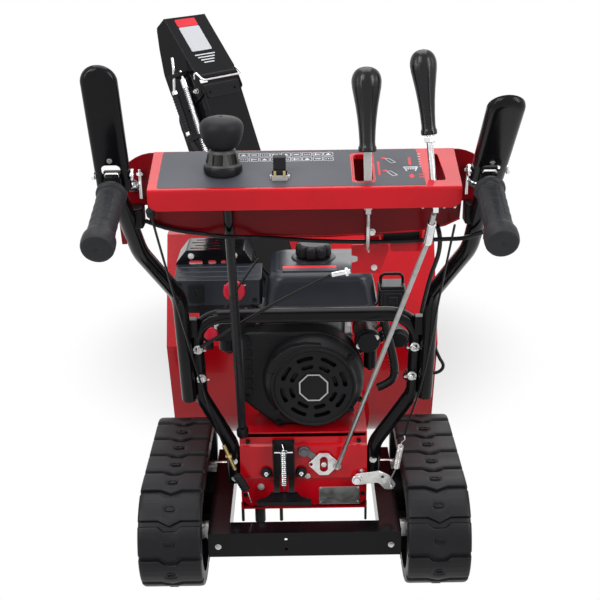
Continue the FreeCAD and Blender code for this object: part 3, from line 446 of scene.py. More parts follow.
def softened(node, width, finish, segments=4, limit=28, wide=2.4):
    # a carried-over node with its broad corners rounded; thin sheet edges stay as they are
    mesh = bmesh.new()
    mesh.from_mesh(nodes[node].data)
    bmesh.ops.remove_doubles(mesh, verts=mesh.verts, dist=0.00002)
    bmesh.ops.dissolve_limit(mesh, angle_limit=math.radians(0.6), verts=mesh.verts, edges=mesh.edges)
    reach = width * 0.001
    chosen = []
    for edge in mesh.edges:
        length = edge.calc_length()
        if len(edge.link_faces) != 2 or length < reach * 2:
            continue
        broad = min(face.calc_area() / length for face in edge.link_faces) > reach * wide
        if broad and edge.calc_face_angle(0) > math.radians(limit):
            chosen.append(edge)
    bmesh.ops.bevel(mesh, geom=chosen, offset=reach, segments=segments, profile=0.5, affect="EDGES",
                    clamp_overlap=True)
    mesh.normal_update()
    piece(node + "Soft", solid(node + "Soft", mesh), finish, (node,), bodyOf[node])


# repeated pieces by Geometry Nodes

class Layout(Graph):
    # a geometry node tree; its named inputs are in metres, and Turns and Sides are counts
    def __init__(self, name, *labels):
        super().__init__(bpy.data.node_groups.new(name, "GeometryNodeTree"))
        kinds = {"Geometry": "Geometry", "Sides": "Int", "Finish": "Material"}
        face, self.keys = self.tree.interface, {}
        for label in ("Geometry", *labels, "Finish"):
            kind = "NodeSocket" + kinds.get(label, "Float")
            self.keys[label] = face.new_socket(label, in_out="INPUT", socket_type=kind).identifier
        face.new_socket("Geometry", in_out="OUTPUT", socket_type="NodeSocketGeometry")
        entry = self.add("NodeGroupInput", output=None)
        self.given = {label: Wire(self, entry.outputs[label]) for label in self.keys}

    def swept(self, line, wire, sides=8, **more):
        section = self.add("GeometryNodeCurvePrimitiveCircle", {}, {"Resolution": sides, "Radius": wire})
        return self.add("GeometryNodeCurveToMesh", {}, {"Curve": line, "Profile Curve": section, **more})

    def scatter(self, kit):
        facing = self.add("GeometryNodeInputNamedAttribute", {"data_type": "FLOAT_VECTOR"}, {0: "facing"})
        turn = self.add("FunctionNodeAlignRotationToVector", {"axis": "Z"}, {"Vector": facing})
        size = self.add("GeometryNodeInputNamedAttribute", {"data_type": "FLOAT"}, {0: "size"})
        return self.add("GeometryNodeInstanceOnPoints", {},
                        {0: self.given["Geometry"], "Instance": kit, "Rotation": turn, "Scale": size})

    def close(self, geometry):
        whole = self.add("GeometryNodeRealizeInstances", {}, {0: geometry})
        coated = self.add("GeometryNodeSetMaterial", {}, {0: whole, "Material": self.given["Finish"]})
        self.add("NodeGroupOutput", {}, {0: coated}, None)

    def make(self, name, spots, sizes, finish, body, slotName=None, place=None, smooth=None):
        # spots are (place, facing, size) in millimetres
        mesh = bpy.data.meshes.new(name)
        mesh.from_pydata([Vector(spot[0]) * 0.001 for spot in spots], [], [])
        mesh.attributes.new("facing", "FLOAT_VECTOR", "POINT")
        mesh.attributes.new("size", "FLOAT", "POINT")
        for index, spot in enumerate(spots):
            mesh.attributes["facing"].data[index].vector = Vector(spot[1]).normalized()
            mesh.attributes["size"].data[index].value = spot[2] if len(spot) > 2 else 1.0
        item = linked(name, mesh)
        modifier = item.modifiers.new("layout", "NODES")
        modifier.node_group = self.tree
        for label, value in sizes.items():
            modifier[self.keys[label]] = value if label in ("Sides", "Turns") else value * 0.001
        modifier[self.keys["Finish"]] = finishes[finish]
        baked(item, name)
        if place:
            item.data.transform(place)
        item.data.shade_smooth()
        if smooth:
            item.data.set_sharp_from_angle(angle=math.radians(smooth))
        mounted(item, body, finish)


def fastenerTree():
    # washer, head and stud
    layout = Layout("fastenerLayout", "Head Width", "Head Height", "Washer Width", "Washer Height",
                    "Stud Width", "Stud Height", "Sides")
    given = layout.given

    def drum(part, below, sides):
        height = given[part + " Height"]
        shape = layout.add("GeometryNodeMeshCylinder", {},
                           {"Vertices": sides, "Depth": height, "Radius": given[part + " Width"] * 0.5})
        shift = layout.add("ShaderNodeCombineXYZ", {}, {2: height * 0.5 + below})
        return layout.add("GeometryNodeTransform", {}, {0: shape, "Translation": shift})

    parts = [drum("Washer", 0.0, 20), drum("Head", given["Washer Height"], given["Sides"]),
             drum("Stud", 0.0, 12)]
    layout.close(layout.scatter(layout.add("GeometryNodeJoinGeometry", {}, {0: parts})))
    return layout


def ringTree():
    # a round bead at each point, square to the point's facing
    layout = Layout("ringLayout", "Ring Radius", "Wire Radius")
    loop = layout.add("GeometryNodeCurvePrimitiveCircle", {},
                      {"Resolution": 24, "Radius": layout.given["Ring Radius"]})
    layout.close(layout.scatter(layout.swept(loop, layout.given["Wire Radius"])))
    return layout


def coilTree():
    # a helical spring standing on the origin
    layout = Layout("coilLayout", "Coil Radius", "Wire Radius", "Length", "Turns")
    given = layout.given
    helix = layout.add("GeometryNodeCurveSpiral", {}, {"Resolution": 20, "Rotations": given["Turns"],
            "Start Radius": given["Coil Radius"], "End Radius": given["Coil Radius"],
            "Height": given["Length"]})
    layout.close(layout.swept(helix, given["Wire Radius"], **{"Fill Caps": True}))
    return layout


fastenerLayout, ringLayout, coilLayout = fastenerTree(), ringTree(), coilTree()
fastenerKinds = {
    "hexBolt": {"Head Width": 10.5, "Head Height": 4.5, "Washer Width": 14.5, "Washer Height": 1.2,
                "Stud Width": 5.0, "Stud Height": 6.5, "Sides": 6},
    "nut": {"Head Width": 10.5, "Head Height": 5.2, "Washer Width": 11.5, "Washer Height": 1.0,
            "Stud Width": 5.8, "Stud Height": 10.5, "Sides": 6},
    "roundHead": {"Head Width": 8.5, "Head Height": 2.6, "Washer Width": 10.5, "Washer Height": 0.9,
                  "Stud Width": 3.8, "Stud Height": 4.2, "Sides": 18},
}


def fasteners(name, kind, spots, finish="zinc", body="machine"):
    fastenerLayout.make(name, spots, fastenerKinds[kind], finish, body, smooth=30)


def beads(name, spots, ringRadius, wireRadius, finish, body="machine", slotName=None):
    sizes = {"Ring Radius": ringRadius, "Wire Radius": wireRadius}
    ringLayout.make(name, spots, sizes, finish, body, slotName)


def along(start, end, count, low=0.0, high=1.0):
    # evenly spaced points on a line, facing along it
    start, end = Vector(start), Vector(end)
    shares = [low + (high - low) * n / (count - 1) for n in range(count)]
    return [(start.lerp(end, share), end - start) for share in shares]


def coil(name, start, end, radius, wire, turns, finish="zinc", body="machine"):
    start, run = Vector(start), Vector(end) - Vector(start)
    way = run.normalized()
    side, up = frameAlong(way)
    turn = Matrix((side, up, way)).transposed().to_4x4()
    if turn.determinant() < 0:
        turn = Matrix((up, side, way)).transposed().to_4x4()
    sizes = {"Coil Radius": radius, "Wire Radius": wire, "Length": run.length, "Turns": float(turns)}
    coilLayout.make(name, [(start, run)], sizes, finish, body,
                    place=Matrix.Translation(start * 0.001) @ turn)


def cable(name, route, radius, body="machine"):
    # a held cable: a smooth curve through its clips, made a mesh
    data = bpy.data.curves.new(name, "CURVE")
    data.dimensions, data.bevel_depth, data.bevel_resolution = "3D", radius * 0.001, 4
    data.resolution_u, data.use_fill_caps = 8, True
    spline = data.splines.new("NURBS")
    spline.points.add(len(route) - 1)
    for point, spot in zip(spline.points, route):
        point.co = (*[value * 0.001 for value in spot], 1)
    spline.order_u, spline.use_endpoint_u = 3, True
    line = linked(name + "Line", data)
    mesh = bpy.data.meshes.new_from_object(line.evaluated_get(bpy.context.evaluated_depsgraph_get()))
    bpy.data.objects.remove(line)
    bpy.data.curves.remove(data)
    mesh.shade_smooth()
    mounted(linked(name, mesh), body, "blackPlastic")


print("tools ready")


# tracks

track = {"reach": 260.0, "width": 122.0, "wheels": (-192.5, 62.5), "level": 112.5, "pads": 17,
         "padRadius": 109.5, "beltRadius": 102.5, "innerRadius": 81.0, "groove": 11.0, "bend": 10.0,
         "studWidth": 19.0, "studLength": 12.0, "studHeight": 2.6, "dip": 1.6}


def trackSpot(along, height):
    # a place on the loop: distance along it at pad level, and height from the wheel centres
    rear, front = track["wheels"]
    straight, bow = front - rear, math.pi * track["padRadius"]
    along %= 2 * (straight + bow)
    if along < straight:
        return front - along, track["level"] + height
    if along < straight + bow:
        angle = (along - straight) / track["padRadius"]
        return rear - height * math.sin(angle), track["level"] + height * math.cos(angle)
    if along < 2 * straight + bow:
        return rear + along - straight - bow, track["level"] - height
    angle = (along - 2 * straight - bow) / track["padRadius"]
    return front + height * math.sin(angle), track["level"] - height * math.cos(angle)


def buildTrack(name, side, node):
    middle, half = side * track["reach"], track["width"] / 2
    pitch = 2 * (track["wheels"][1] - track["wheels"][0] + math.pi * track["padRadius"]) / track["pads"]
    across = [-half, -half, -60, -57, -52, -40, -27, -22, -16, -12.5, -11, -5.5, 0]
    across += [-x for x in across[:-1][::-1]]
    easing = {0: None, 1: 5.5, 2: 2.4, 3: 0.6}
    profile = [(-1.3, 0), (0.4, 0.82), (2.2, 1)]
    shares = [0.2, 0.36, 0.39, 0.5, 0.61, 0.64, 0.8]

    def front(x):
        x = abs(x)
        rise = 1.0 if x <= 11 else max(0.0, (22 - x) / 11)
        return track["groove"] / 2 + track["bend"] * rise

    def rear(x):
        return -track["groove"] / 2 + track["groove"] * max(0.0, 1 - abs(x) / 22)

    rings = []
    for pad in range(track["pads"]):
        rows = [("near", offset, lift) for offset, lift in profile] + [("share", share, 1)
                for share in shares]
        rows += [("far", offset, lift) for offset, lift in profile[::-1]]
        for kind, amount, lift in rows:
            ring = []
            for column, x in enumerate(across):
                start, end = pad * pitch + front(x), (pad + 1) * pitch + rear(x)
                along = {"near": start + amount, "share": start + (end - start) * amount,
                         "far": end - amount}[kind]
                height = track["beltRadius"] + (track["padRadius"] - track["beltRadius"]) * lift
                if kind == "share" and 0.39 <= amount <= 0.61 and abs(x) <= 11:
                    height -= track["dip"]
                end = min(column, len(across) - 1 - column)
                if end == 0:
                    height = track["innerRadius"]
                elif end in easing:
                    height -= easing[end]
                y, z = trackSpot(along, height)
                ring.append((middle + x, y, z))
            rings.append(ring)
    form = Form().loft(rings, closed=True)
    piece(name, form, "treadRubber", (node,), body="undercarriage", smooth=50)


def studTree():
    # a rounded rectangular ring at each point
    layout = Layout("studLayout", "Width", "Length", "Rim")
    given = layout.given
    outline = layout.add("GeometryNodeCurvePrimitiveQuadrilateral", {},
                         {"Width": given["Width"], "Height": given["Length"]})
    soft = layout.add("GeometryNodeFilletCurve", {"mode": "POLY"},
                      {"Curve": outline, "Radius": given["Length"] * 0.42, "Count": 3,
                       "Limit Radius": True})
    layout.close(layout.scatter(layout.swept(soft, given["Rim"], 6)))
    return layout


studLayout = studTree()


def buildStuds(name, side):
    spots = []
    count = track["pads"]
    total = 2 * (track["wheels"][1] - track["wheels"][0] + math.pi * track["padRadius"])
    for pad in range(count):
        along = (pad + 0.5) * total / count + 5.2
        low, high = trackSpot(along, track["padRadius"]), trackSpot(along, track["padRadius"] + 1)
        spots.append(((side * track["reach"], *low), (0, high[0] - low[0], high[1] - low[1])))
    rim = track["studHeight"] / 2
    sizes = {"Width": track["studWidth"] - 2 * rim, "Length": track["studLength"] - 2 * rim, "Rim": rim}
    studLayout.make(name, spots, sizes, "treadRubber", "undercarriage")


for trackName, side, node in (("leftTrack", -1, "track_left"), ("rightTrack", 1, "track_right")):
    buildTrack(trackName, side, node)
    buildStuds(trackName + "Studs", side)


def buildUnderDetails():
    # bolts of the wheels and crossbeam
    spots = []
    for side in (-1, 1):
        for y in track["wheels"]:
            spots.append(((side * 297, y, 112.5), (side, 0, 0), 1.25))
    fasteners("wheelBolts", "hexBolt", spots, body="undercarriage")
    beam = [((-172, -226, 94), aft, 0.85), ((172, -226, 94), aft, 0.85)]
    fasteners("crossbeamBolts", "hexBolt", beam, body="undercarriage")


buildUnderDetails()
print("tracks ready")


# engine and its covers

recoil = {"centre": (22.0, -92.0, 395.0), "slots": 8, "slotTurn": 31.0, "slotWidth": 9.0, "outer": 67.0,
          "inner": 49.0, "badge": 31.0}


def sector(inner, outer, middle, turn, steps=8):
    # part of a ring, its ends rounded by two shorter edges
    spots = []
    ease = (outer - inner) * 0.3
    for radius, low, high in ((inner, -1, 1), (inner + ease, 1, 1), (outer - ease, 1, 1), (outer, 1, -1),
            (outer - ease, -1, -1), (inner + ease, -1, -1)):
        trim = 0.0 if radius in (inner + ease, outer - ease) else math.degrees(ease / radius)
        if low == high:
            angle = math.radians(middle + low * turn / 2)
            spots.append((radius * math.cos(angle), radius * math.sin(angle)))
            continue
        for n in range(steps + 1):
            angle = math.radians(middle + (turn / 2 - trim) * (low + (high - low) * n / steps))
            spots.append((radius * math.cos(angle), radius * math.sin(angle)))
    return spots


def buildRecoil():
    x, y, z = recoil["centre"]
    profile = [(0.05, 33), (80, 33), (85, 24), (94, 12), (98, 0), (101, 0), (100.5, 5), (97, 14), (93, 21),
               (88, 26), (85.5, 31), (85, 37), (83.5, 39.5), (80, 40), (78.5, 39), (77.5, 36), (0.05, 36)]
    bowl = Form().lathe(profile, (x, y, z), (x, y - 10, z), 96)
    cutter = Form()
    for outer in (recoil["outer"], recoil["inner"]):
        for n in range(recoil["slots"]):
            outline = sector(outer - recoil["slotWidth"], outer, 360 * (n + 0.35) / recoil["slots"],
                             recoil["slotTurn"])
            cutter.slab("y", (y - 45, y - 30), [(x + u, z + v) for u, v in outline])
    piece("recoilCover", bowl, "recoilPlastic", ("recoil_cover",), bevel=1.0, cut=cutter, limit=38,
          smooth=40)
    # the raised arm that sweeps over the upper left of the cover
    outline = [(-92, 30), (-70, 31), (-52, 50), (-34, 69), (-12, 77), (14, 80), (16, 90), (-14, 92),
               (-44, 86), (-68, 72), (-84, 54)]
    sweep = Form().slab("y", (y - 38, y - 16), [(x + u, z + v) for u, v in outline])
    piece("recoilArm", sweep, "recoilPlastic", bevel=3.0, segments=3)
    # starter pulley and screen seen through the slots
    screen = Form().lathe([(0.05, 20), (74, 20), (74, 24), (0.05, 24)], (x, y, z), (x, y - 10, z), 64)
    screen.lathe([(0.05, 18), (44, 18), (46, 26), (20, 29), (0.05, 29)], (x, y, z), (x, y - 10, z), 48)
    piece("recoilPulley", screen, "satinBlack", bevel=0.6)
    corner = recoil["badge"] * (math.sqrt(2) - 1)
    outline = [(recoil["badge"], -corner), (recoil["badge"], corner), (corner, recoil["badge"]),
               (-corner, recoil["badge"]), (-recoil["badge"], corner), (-recoil["badge"], -corner),
               (-corner, -recoil["badge"]), (corner, -recoil["badge"])]

    def ringed(scale):
        return [(x + u * scale, z + v * scale) for u, v in outline]

    piece("recoilBadge", Form().slab("y", (y - 38, y - 35), ringed(1.0)), "blackPaint",
          bevel=0.8)
    rim = Form().slab("y", (y - 38.6, y - 37), ringed(0.93))
    piece("badgeRim", rim, "plateSilver", cut=Form().slab("y", (y - 45, y - 30), ringed(0.84)))
    piece("badgeField", Form().slab("y", (y - 38.3, y - 37), ringed(0.78)), "recoilPlastic", bevel=0.3)
    spots = []
    for angle in (38, 142, 218, 322):
        turn = math.radians(angle)
        spots.append(((x + 93 * math.cos(turn), y - 20, z + 93 * math.sin(turn)), aft, 1.1))
    fasteners("recoilScrews", "hexBolt", spots, "satinBlack")


shroud = {"centre": (22.0, 395.0), "radius": 103.0}


def buildShroud():
    (x, z), radius = shroud["centre"], shroud["radius"]
    arc = [(x + radius * math.cos(math.radians(a)), z + radius * math.sin(math.radians(a)))
           for a in range(-90, 91, 9)]
    outline = arc + rounding([(x, 498), (-120, 498), (-120, 348), (-55, 292), (x, 292)],
            [0, 16, 14, 22, 0])[1:-1]
    form = Form().slab("y", (-92, -40), outline)
    piece("fanShroud", form, "recoilPlastic", ("fan_shroud",), bevel=7.0, segments=4, limit=60)
    form = Form()
    for n in range(6):
        form.slab("y", (-95, -90), rectangle(-112, -100, 366 + 21 * n, 378 + 21 * n, 2))
    piece("shroudRibs", form, "satinBlack", bevel=0.8)
    spots = [((-110, -92, 488), aft), ((-112, -92, 358), aft), ((-50, -92, 300), aft),
             ((116, -92, 350), aft, 0.9)]
    fasteners("shroudScrews", "hexBolt", spots, "satinBlack")


def buildBlock():
    # crankcase with fins, cylinder head and bolts
    form = Form().slab("x", (-92, 101), rounding([(-40, 292), (58, 292), (58, 430), (40, 470), (-40, 470)],
            8))
    form.slab("z", (470, 520), rectangle(-86, 88, -38, 50, 12))
    for n in range(7):
        form.slab("z", (372 + 15 * n, 376 + 15 * n), rectangle(-95, 104, -40, 59, 10))
    piece("engineBlock", form, "engineMetal", ("engine_block",), bevel=1.2, limit=40)
    spots = [((101, y, z), (1, 0, 0), 1.1) for y in (-24, 16, 46) for z in (306, 356)]
    spots += [((-92, y, z), (-1, 0, 0), 1.1) for y in (-24, 16, 46) for z in (306, 356)]
    fasteners("blockBolts", "hexBolt", spots)


tank = {"left": -70.0, "right": 148.0, "rear": -90.0, "front": 95.0, "top": 622.0, "seam": 546.0,
        "capX": 26.0, "capY": 6.0, "capScale": 0.87}


def buildTank():
    lowRing, highRing = tank["seam"], tank["top"]
    steps = 8

    def ring(inset, level, corner):
        outline = rectangle(tank["left"] + inset, tank["right"] - inset, tank["rear"] + inset,
                            tank["front"] - inset, max(corner - inset * 0.55, 8), 8)
        return [(u, v, level) for u, v in outline]

    rings = [ring(10, 520, 26), ring(10, lowRing - 3, 26), ring(7, lowRing, 26),
             ring(-4, lowRing + 0.2, 30), ring(-4, lowRing + 2.6, 30), ring(-4, lowRing + 6, 30),
             ring(0, lowRing + 6.2, 26), ring(5, highRing - 34, 28)]
    for n in range(steps + 1):
        turn = math.pi / 2 * n / steps
        rings.append(ring(6 + 20 * (1 - math.cos(turn)), highRing - 24 + 18 * math.sin(turn), 34))
    rings += [ring(34, highRing - 3.2, 26), ring(52, highRing - 1.2, 26), ring(70, highRing, 26)]
    piece("fuelTank", Form().loft(rings), "slatePlastic", ("fuel_tank",), bevel=0.7, limit=40, smooth=38)
    x, y, top = tank["capX"], tank["capY"], tank["top"]
    scale = tank["capScale"]
    collar = Form().lathe([(30, -4), (46, -4), (44, 1.5), (39, 3), (30, 3)], (x, y, top), (x, y, top + 9),
                          64)
    piece("fillerCollar", collar, "blackPlastic", bevel=0.6)
    rings = []
    for radius, height in ((33, 1), (36, 3), (41, 6), (41.6, 9), (41.6, 22), (39.5, 26), (36, 28.2),
            (30, 29.5), (29, 28.8), (27, 28.6), (14, 29.2), (2, 29.5)):
        spots = []
        for n in range(90):
            angle = 2 * math.pi * n / 90
            lobe = max(0.0, math.cos(9 * angle)) ** 3 * min(1.0, max(0.0, radius - 30) / 6)
            reach = scale * (radius - 5.2 * lobe)
            spots.append((x + reach * math.cos(angle), y + reach * math.sin(angle), top + height))
        rings.append(spots)
    piece("tankCap", Form().loft(rings), "blackPlastic", ("tank_cap",), smooth=42)
    bolts = [((x0, y0, tank["seam"] + 6.2), (0, 0, 1), 0.8) for x0,
             y0 in ((-64, -74), (138, -74), (-64, 80), (138, 80))]
    fasteners("tankBolts", "hexBolt", bolts, "satinBlack")
    # blank panels where the tank carries printed bands
    tilt = Matrix.Translation((17, -57, 618.9)) @ Matrix.Rotation(math.radians(7.8), 4, "X")
    band = Form().slab("z", (-2.4, 0.9), rectangle(-53, 53, 0.5, 11, 2)).move(tilt)
    piece("tankBand", band, "redMark", bevel=0.3)
    pale = Form().slab("z", (-2.4, 0.8), rectangle(-53, 53, -11, 0.2, 2)).move(tilt)
    piece("tankPanel", pale, "decalGrey", bevel=0.3)


heater = {"across": (-251.0, -78.0), "along": (-60.0, 15.0)}


def buildHeater():
    (left, right), (rear, front) = heater["across"], heater["along"]

    def top(y):
        return 598 + 9 * (y - rear) / (front - rear)

    form = Form().slab("x", (left, right), [(rear, 545), (front, 545), (front, top(front)), (rear, 598)])
    form.curl("z", lambda m: m.y < rear + 1, 8)
    cutter = Form()
    for n in range(3):
        y = rear + 15 + 22 * n
        cutter.slab("x", (left + 8, right - 8), [(y - 4, top(y) + 4), (y, top(y) - 3), (y + 4, top(y) + 4)])
    piece("heaterBox", form, "slatePlastic", ("heater_box",), bevel=2.2, segments=3, cut=cutter)
    low, high, middle = 551.0, 589.0, left + 43
    plate = Form().slab("y", (rear - 2.5, rear), rounding([(middle - 15.5, low), (middle + 15.5, low),
            (middle + 15.5, high), (middle - 15.5, high)], [8, 8, 1, 1]))
    hole = Form().slab("y", (rear - 4, rear + 1), disc(middle, high - 12, 3.5, 20))
    hole.slab("y", (rear - 4, rear + 1), rectangle(middle - 1.5, middle + 1.5, high - 23, high - 16, 0.5))
    piece("keyPlate", plate, "blackPlastic", bevel=0.5, cut=hole)
    # the small marks beside the choke knob, plain bars
    marks = Form()
    for u, w in ((-152, 7), (-116, 7)):
        marks.slab("y", (rear - 0.5, rear), rectangle(u, u + w, 586, 588, 0.5))
    piece("chokeMarks", marks, "whiteMark")
    fasteners("heaterScrews", "roundHead", [((-240, rear, 589), aft, 0.9), ((-92, rear, 555), aft, 0.9)],
              "satinBlack")


guard = {"across": (-253.0, -99.0), "along": (15.0, 97.0), "eave": 610.0, "ridge": 636.0, "wall": 1.6}


def buildGuard():
    (left, right), (rear, front) = guard["across"], guard["along"]
    eave, ridge, wall = guard["eave"], guard["ridge"], guard["wall"]
    crown = [(left + 21, ridge), (left, eave), (left, 500), (right, 500), (right, eave),
             (right - 16, ridge)]
    crown = rounding(crown, [7, 9, 0, 0, 9, 7], 5)
    form = Form().slab("y", (rear, front), crown)
    inner = rounding([(left + 22, ridge - wall), (left + wall, eave), (left + wall, 490),
                      (right - wall, 490), (right - wall, eave), (right - 17, ridge - wall)],
                     [6, 8, 0, 0, 8, 6], 5)
    hollow = Form().slab("y", (rear + wall, front + 1), inner)
    cutter = Form()
    for middle, length in ((-213, 28), (-180, 16), (-147, 30)):
        cutter.slab("y", (rear - 1, rear + wall + 1), rectangle(middle - length / 2, middle + length / 2,
                606, 614, 3.9, 4))
    for row in range(4):
        y = rear + 14 + 18 * row
        for middle in (-212, -176, -140):
            middle += 9 * (row % 2)
            cutter.slab("z", (ridge - wall - 1, ridge + 1), rectangle(middle - 13, middle + 13, y - 3,
                    y + 3, 2.9, 4))
    piece("mufflerGuard", form, "blackPaint", ("muffler_guard",), cut=[hollow, cutter])
    can = Form().lathe([(28, 0), (36, 7), (36, 121), (28, 128)], (left + 14, 60, 556), (0, 60, 556), 48)
    for n in range(4):
        can.lathe([(36, 0), (37.2, 1.2), (36, 2.4)], (left + 36 + 26 * n, 60, 556), (0, 60, 556), 48)
    piece("mufflerCan", can, "engineMetal", bevel=1.0)
    fasteners("guardBolts", "roundHead", [((-222, rear, 624), aft, 1.2), ((-134, rear, 624), aft, 1.2)],
              "chrome")


def domed(radius, height, ease=3.0):
    profile = [(radius - ease, 0), (radius, ease), (radius, height - 6), (radius - 1.2, height - 3.4)]
    for share in (0.82, 0.62, 0.4, 0.2, 0.01):
        profile.append((radius * share, height - 2.6 * share * share - 0.4))
    return profile


def buildEngineTrim():
    choke = Form().lathe(domed(22, 13), (-132, -60, 576.5), (-132, -70, 576.5), 48)
    piece("chokeKnob", choke, "redPlastic", ("throttle_knob",), bevel=0.8, smooth=30)
    ribs = [((-132 + u, -66, 576.5 + v), aft) for u, v in circle(6, 18)]
    beads("chokeRibs", ribs, 2.4, 0.7, "redPlastic")
    throttle = Form().lathe(domed(15, 16), (-182, -56, 487), (-182, -66, 487), 40)
    piece("throttleKnob", throttle, "redPlastic", bevel=0.8, smooth=30)

    form = Form().slab("y", (-60, 15), rectangle(-203, -95, 468, 545, 10))
    form.slab("y", (-56, -40), rectangle(-200, -148, 470, 522, 8))
    form.slab("y", (-66, -58), rectangle(-194, -158, 500, 520, 5))
    form.bar((-150, -12, 430), (-150, -12, 469), 21, 40, 3)
    form.bar((-150, -12, 422), (-150, -12, 430), 7, 6)
    form.bar((-188, -50, 468), (-188, -50, 448), 9, 24)
    form.bar((-171, -62, 478), (-203, -62, 478), 3.2, 16)
    piece("carburettor", form, "satinBlack", ("carburettor",), bevel=1.8,
          segments=3)
    lever = Form().slab("y", (-70, -67), rounding([(-172, 505), (-166, 500), (-130, 528), (-134, 536)],
            2.5))
    lever.bar((-169, -60, 503), (-169, -71, 503), 5.5, 20)
    piece("throttleLever", lever, "zinc", bevel=0.5)
    fasteners("carbBolts", "hexBolt", [((-110, -60, 532), aft), ((-110, -60, 480), aft),
            ((-192, -56, 478), aft, 0.7)])

    form = Form().lathe([(20, -86), (20, -78), (24, -78), (26, -75), (26, -62), (24.5, -60), (24.5, -4),
                         (26, -2), (26, 6), (22, 10)], (131, 0, 470), (131, 10, 470), 48)
    form.bar((138, -52, 404), (138, -52, 462), 13, 32, 1.5)
    form.bar((138, -52, 398), (138, -52, 404), 6, 6)
    form.slab("y", (-46, -36), rounding([(118, 452), (150, 452), (148, 492), (120, 492)], 6))
    piece("starterMotor", form, "satinBlack", ("starter_motor",), bevel=0.8,
          smooth=35)
    through = [((131 + s * 17, -79, 470 + t * 9), aft, 0.8) for s, t in ((-1, -1), (1, 1))]
    fasteners("starterBolts", "hexBolt", through)

    left, right = 153.0, 206.0
    form = Form().slab("z", (538, 580), rectangle(left, right, -82, -28, 5))
    form.slab("z", (580, 586), rectangle(left + 3, right - 3, -79, -31, 4))
    form.slab("y", (-84, -80), rectangle(left + 8, right - 8, 545, 574, 3))
    form.slab("y", (-88, -83), rectangle(left + 17, right - 17, 551, 568, 3))
    piece("switchBox", form, "blackPlastic", ("switch_box",), bevel=1.6, segments=3)
    hoop = Form().rod(bentLine([(157.5, -52, 584), (157.5, -52, 604), (201.5, -52, 604), (201.5, -52, 584)],
            [19, 19]), 3)
    piece("switchHoop", hoop, "blackPaint", bevel=0.3)

    cap = Form().lathe([(2, -2), (12, 0), (12, 10), (20, 12), (21, 13), (21, 23), (20, 24.4), (16, 26),
                        (15.6, 33), (14, 34), (2, 34)], (199, -8, 456), (199, -18, 456), 40)
    piece("oilCap", cap, "blackPlastic", bevel=0.5, smooth=35)
    neck = Form().rod(bentLine([(199, -9, 456), (199, 28, 456), (111, 28, 405)], [20]), 12, 24)
    piece("oilNeck", neck, "satinBlack", bevel=0.3)


buildRecoil()
buildShroud()
buildBlock()
buildTank()
buildHeater()
buildGuard()
buildEngineTrim()
softened("belt_cover", 5.0, "redPaint")
print("engine ready")


# frame, handles and grips

handle = {"tube": 14.0, "tilt": 14.5, "sides": {-1: 198.5, 1: 215.5}, "elbows": {-1: 262.0, 1: 277.0},
          "wrists": {-1: 276.0, 1: 281.0}, "wristY": -488.0, "wristZ": 906.0, "endX": 281.0, "endY": -631.0,
          "endZ": 853.0, "gripLength": 130.0, "gripRadius": 20.0, "leans": {-1: 20.3, 1: 44.4}}


def onFrame(across, up, back=0.0):
    tilt = math.radians(handle["tilt"])
    return (across, -100 - up * math.sin(tilt) - back * math.cos(tilt),
            174 + up * math.cos(tilt) - back * math.sin(tilt))


def handleLine(side):
    beside = side * (handle["sides"][side] + 20)
    return [onFrame(beside, 238, 19.6), onFrame(beside, 478, 19.6),
            (side * handle["elbows"][side], -380, 765), (side * handle["wrists"][side], handle["wristY"],
            handle["wristZ"]), (side * handle["endX"], handle["endY"], handle["endZ"])]


def buildLoop():
    def half(side):
        shoulder = side * handle["sides"][side]
        return [onFrame(side * 143, 0), onFrame(side * 143, 97), onFrame(shoulder, 231),
                onFrame(shoulder, 419)]

    line = bentLine(half(1) + half(-1)[::-1], [70, 70, 55, 55, 70, 70], 10)
    piece("frameLoop", Form().rod(line, handle["tube"], 32), "blackPaint", ("lower_frame",), smooth=40)
    spots = []
    for side in (-1, 1):
        for up in (12, 60):
            x, y, z = onFrame(side * 143, up)
            spots.append(((x - side * 2, y - 13.5, z), aft))
    fasteners("frameBolts", "hexBolt", spots)


def buildHandle(name, side):
    line = bentLine(handleLine(side), [90, 200, 40], 12)
    piece("handleTube" + name, Form().rod(line, handle["tube"], 32), "blackPaint",
          ("handle_" + name.lower(),), smooth=40)


def buildGrip(name, side):
    start, end = Vector(handleLine(side)[3]), Vector(handleLine(side)[4])
    way = (end - start).normalized()
    sideways, up = frameAlong(way)
    foot = end - way * handle["gripLength"]
    length, radius = handle["gripLength"], handle["gripRadius"]
    profile = [(14.05, 0), (22.4, 0), (23.2, 1.4), (23.2, 5), (22, 6.4), (20.2, 8)]
    grooves = [16 + 17.5 * n for n in range(5)]
    for h in grooves:
        profile += [(radius, h - 1.5), (radius - 1.1, h), (radius, h + 1.5), (radius + 0.5, h + 8)]
    profile += [(radius + 0.4, length - 28), (radius + 2.2, length - 24), (radius + 4.4, length - 17),
                (radius + 4.8, length - 8), (radius + 4.2, length - 1), (radius + 2.6, length + 3),
                (radius, length + 4.4), (radius - 3, length + 4.7), (8, length + 4.6), (5, length + 4.2),
                (3, length + 3), (0.05, length + 2.5)]
    rings = []
    for r, h in profile:
        ring = []
        for n in range(64):
            angle = 2 * math.pi * n / 64
            flute = 0.9 if n % 16 == 4 and 10 < h < length - 28 else 0.0
            ring.append(foot + way * h + sideways * (r - flute) * math.cos(angle) + up * (r - flute)
                        * math.sin(angle))
        rings.append(ring)
    piece("grip" + name, Form().loft(rings), "gripRubber", ("grip_" + name.lower(),), smooth=28)


paddle = {"half": 25.0, "length": 203.0, "rows": 14, "sheet": 2.2}


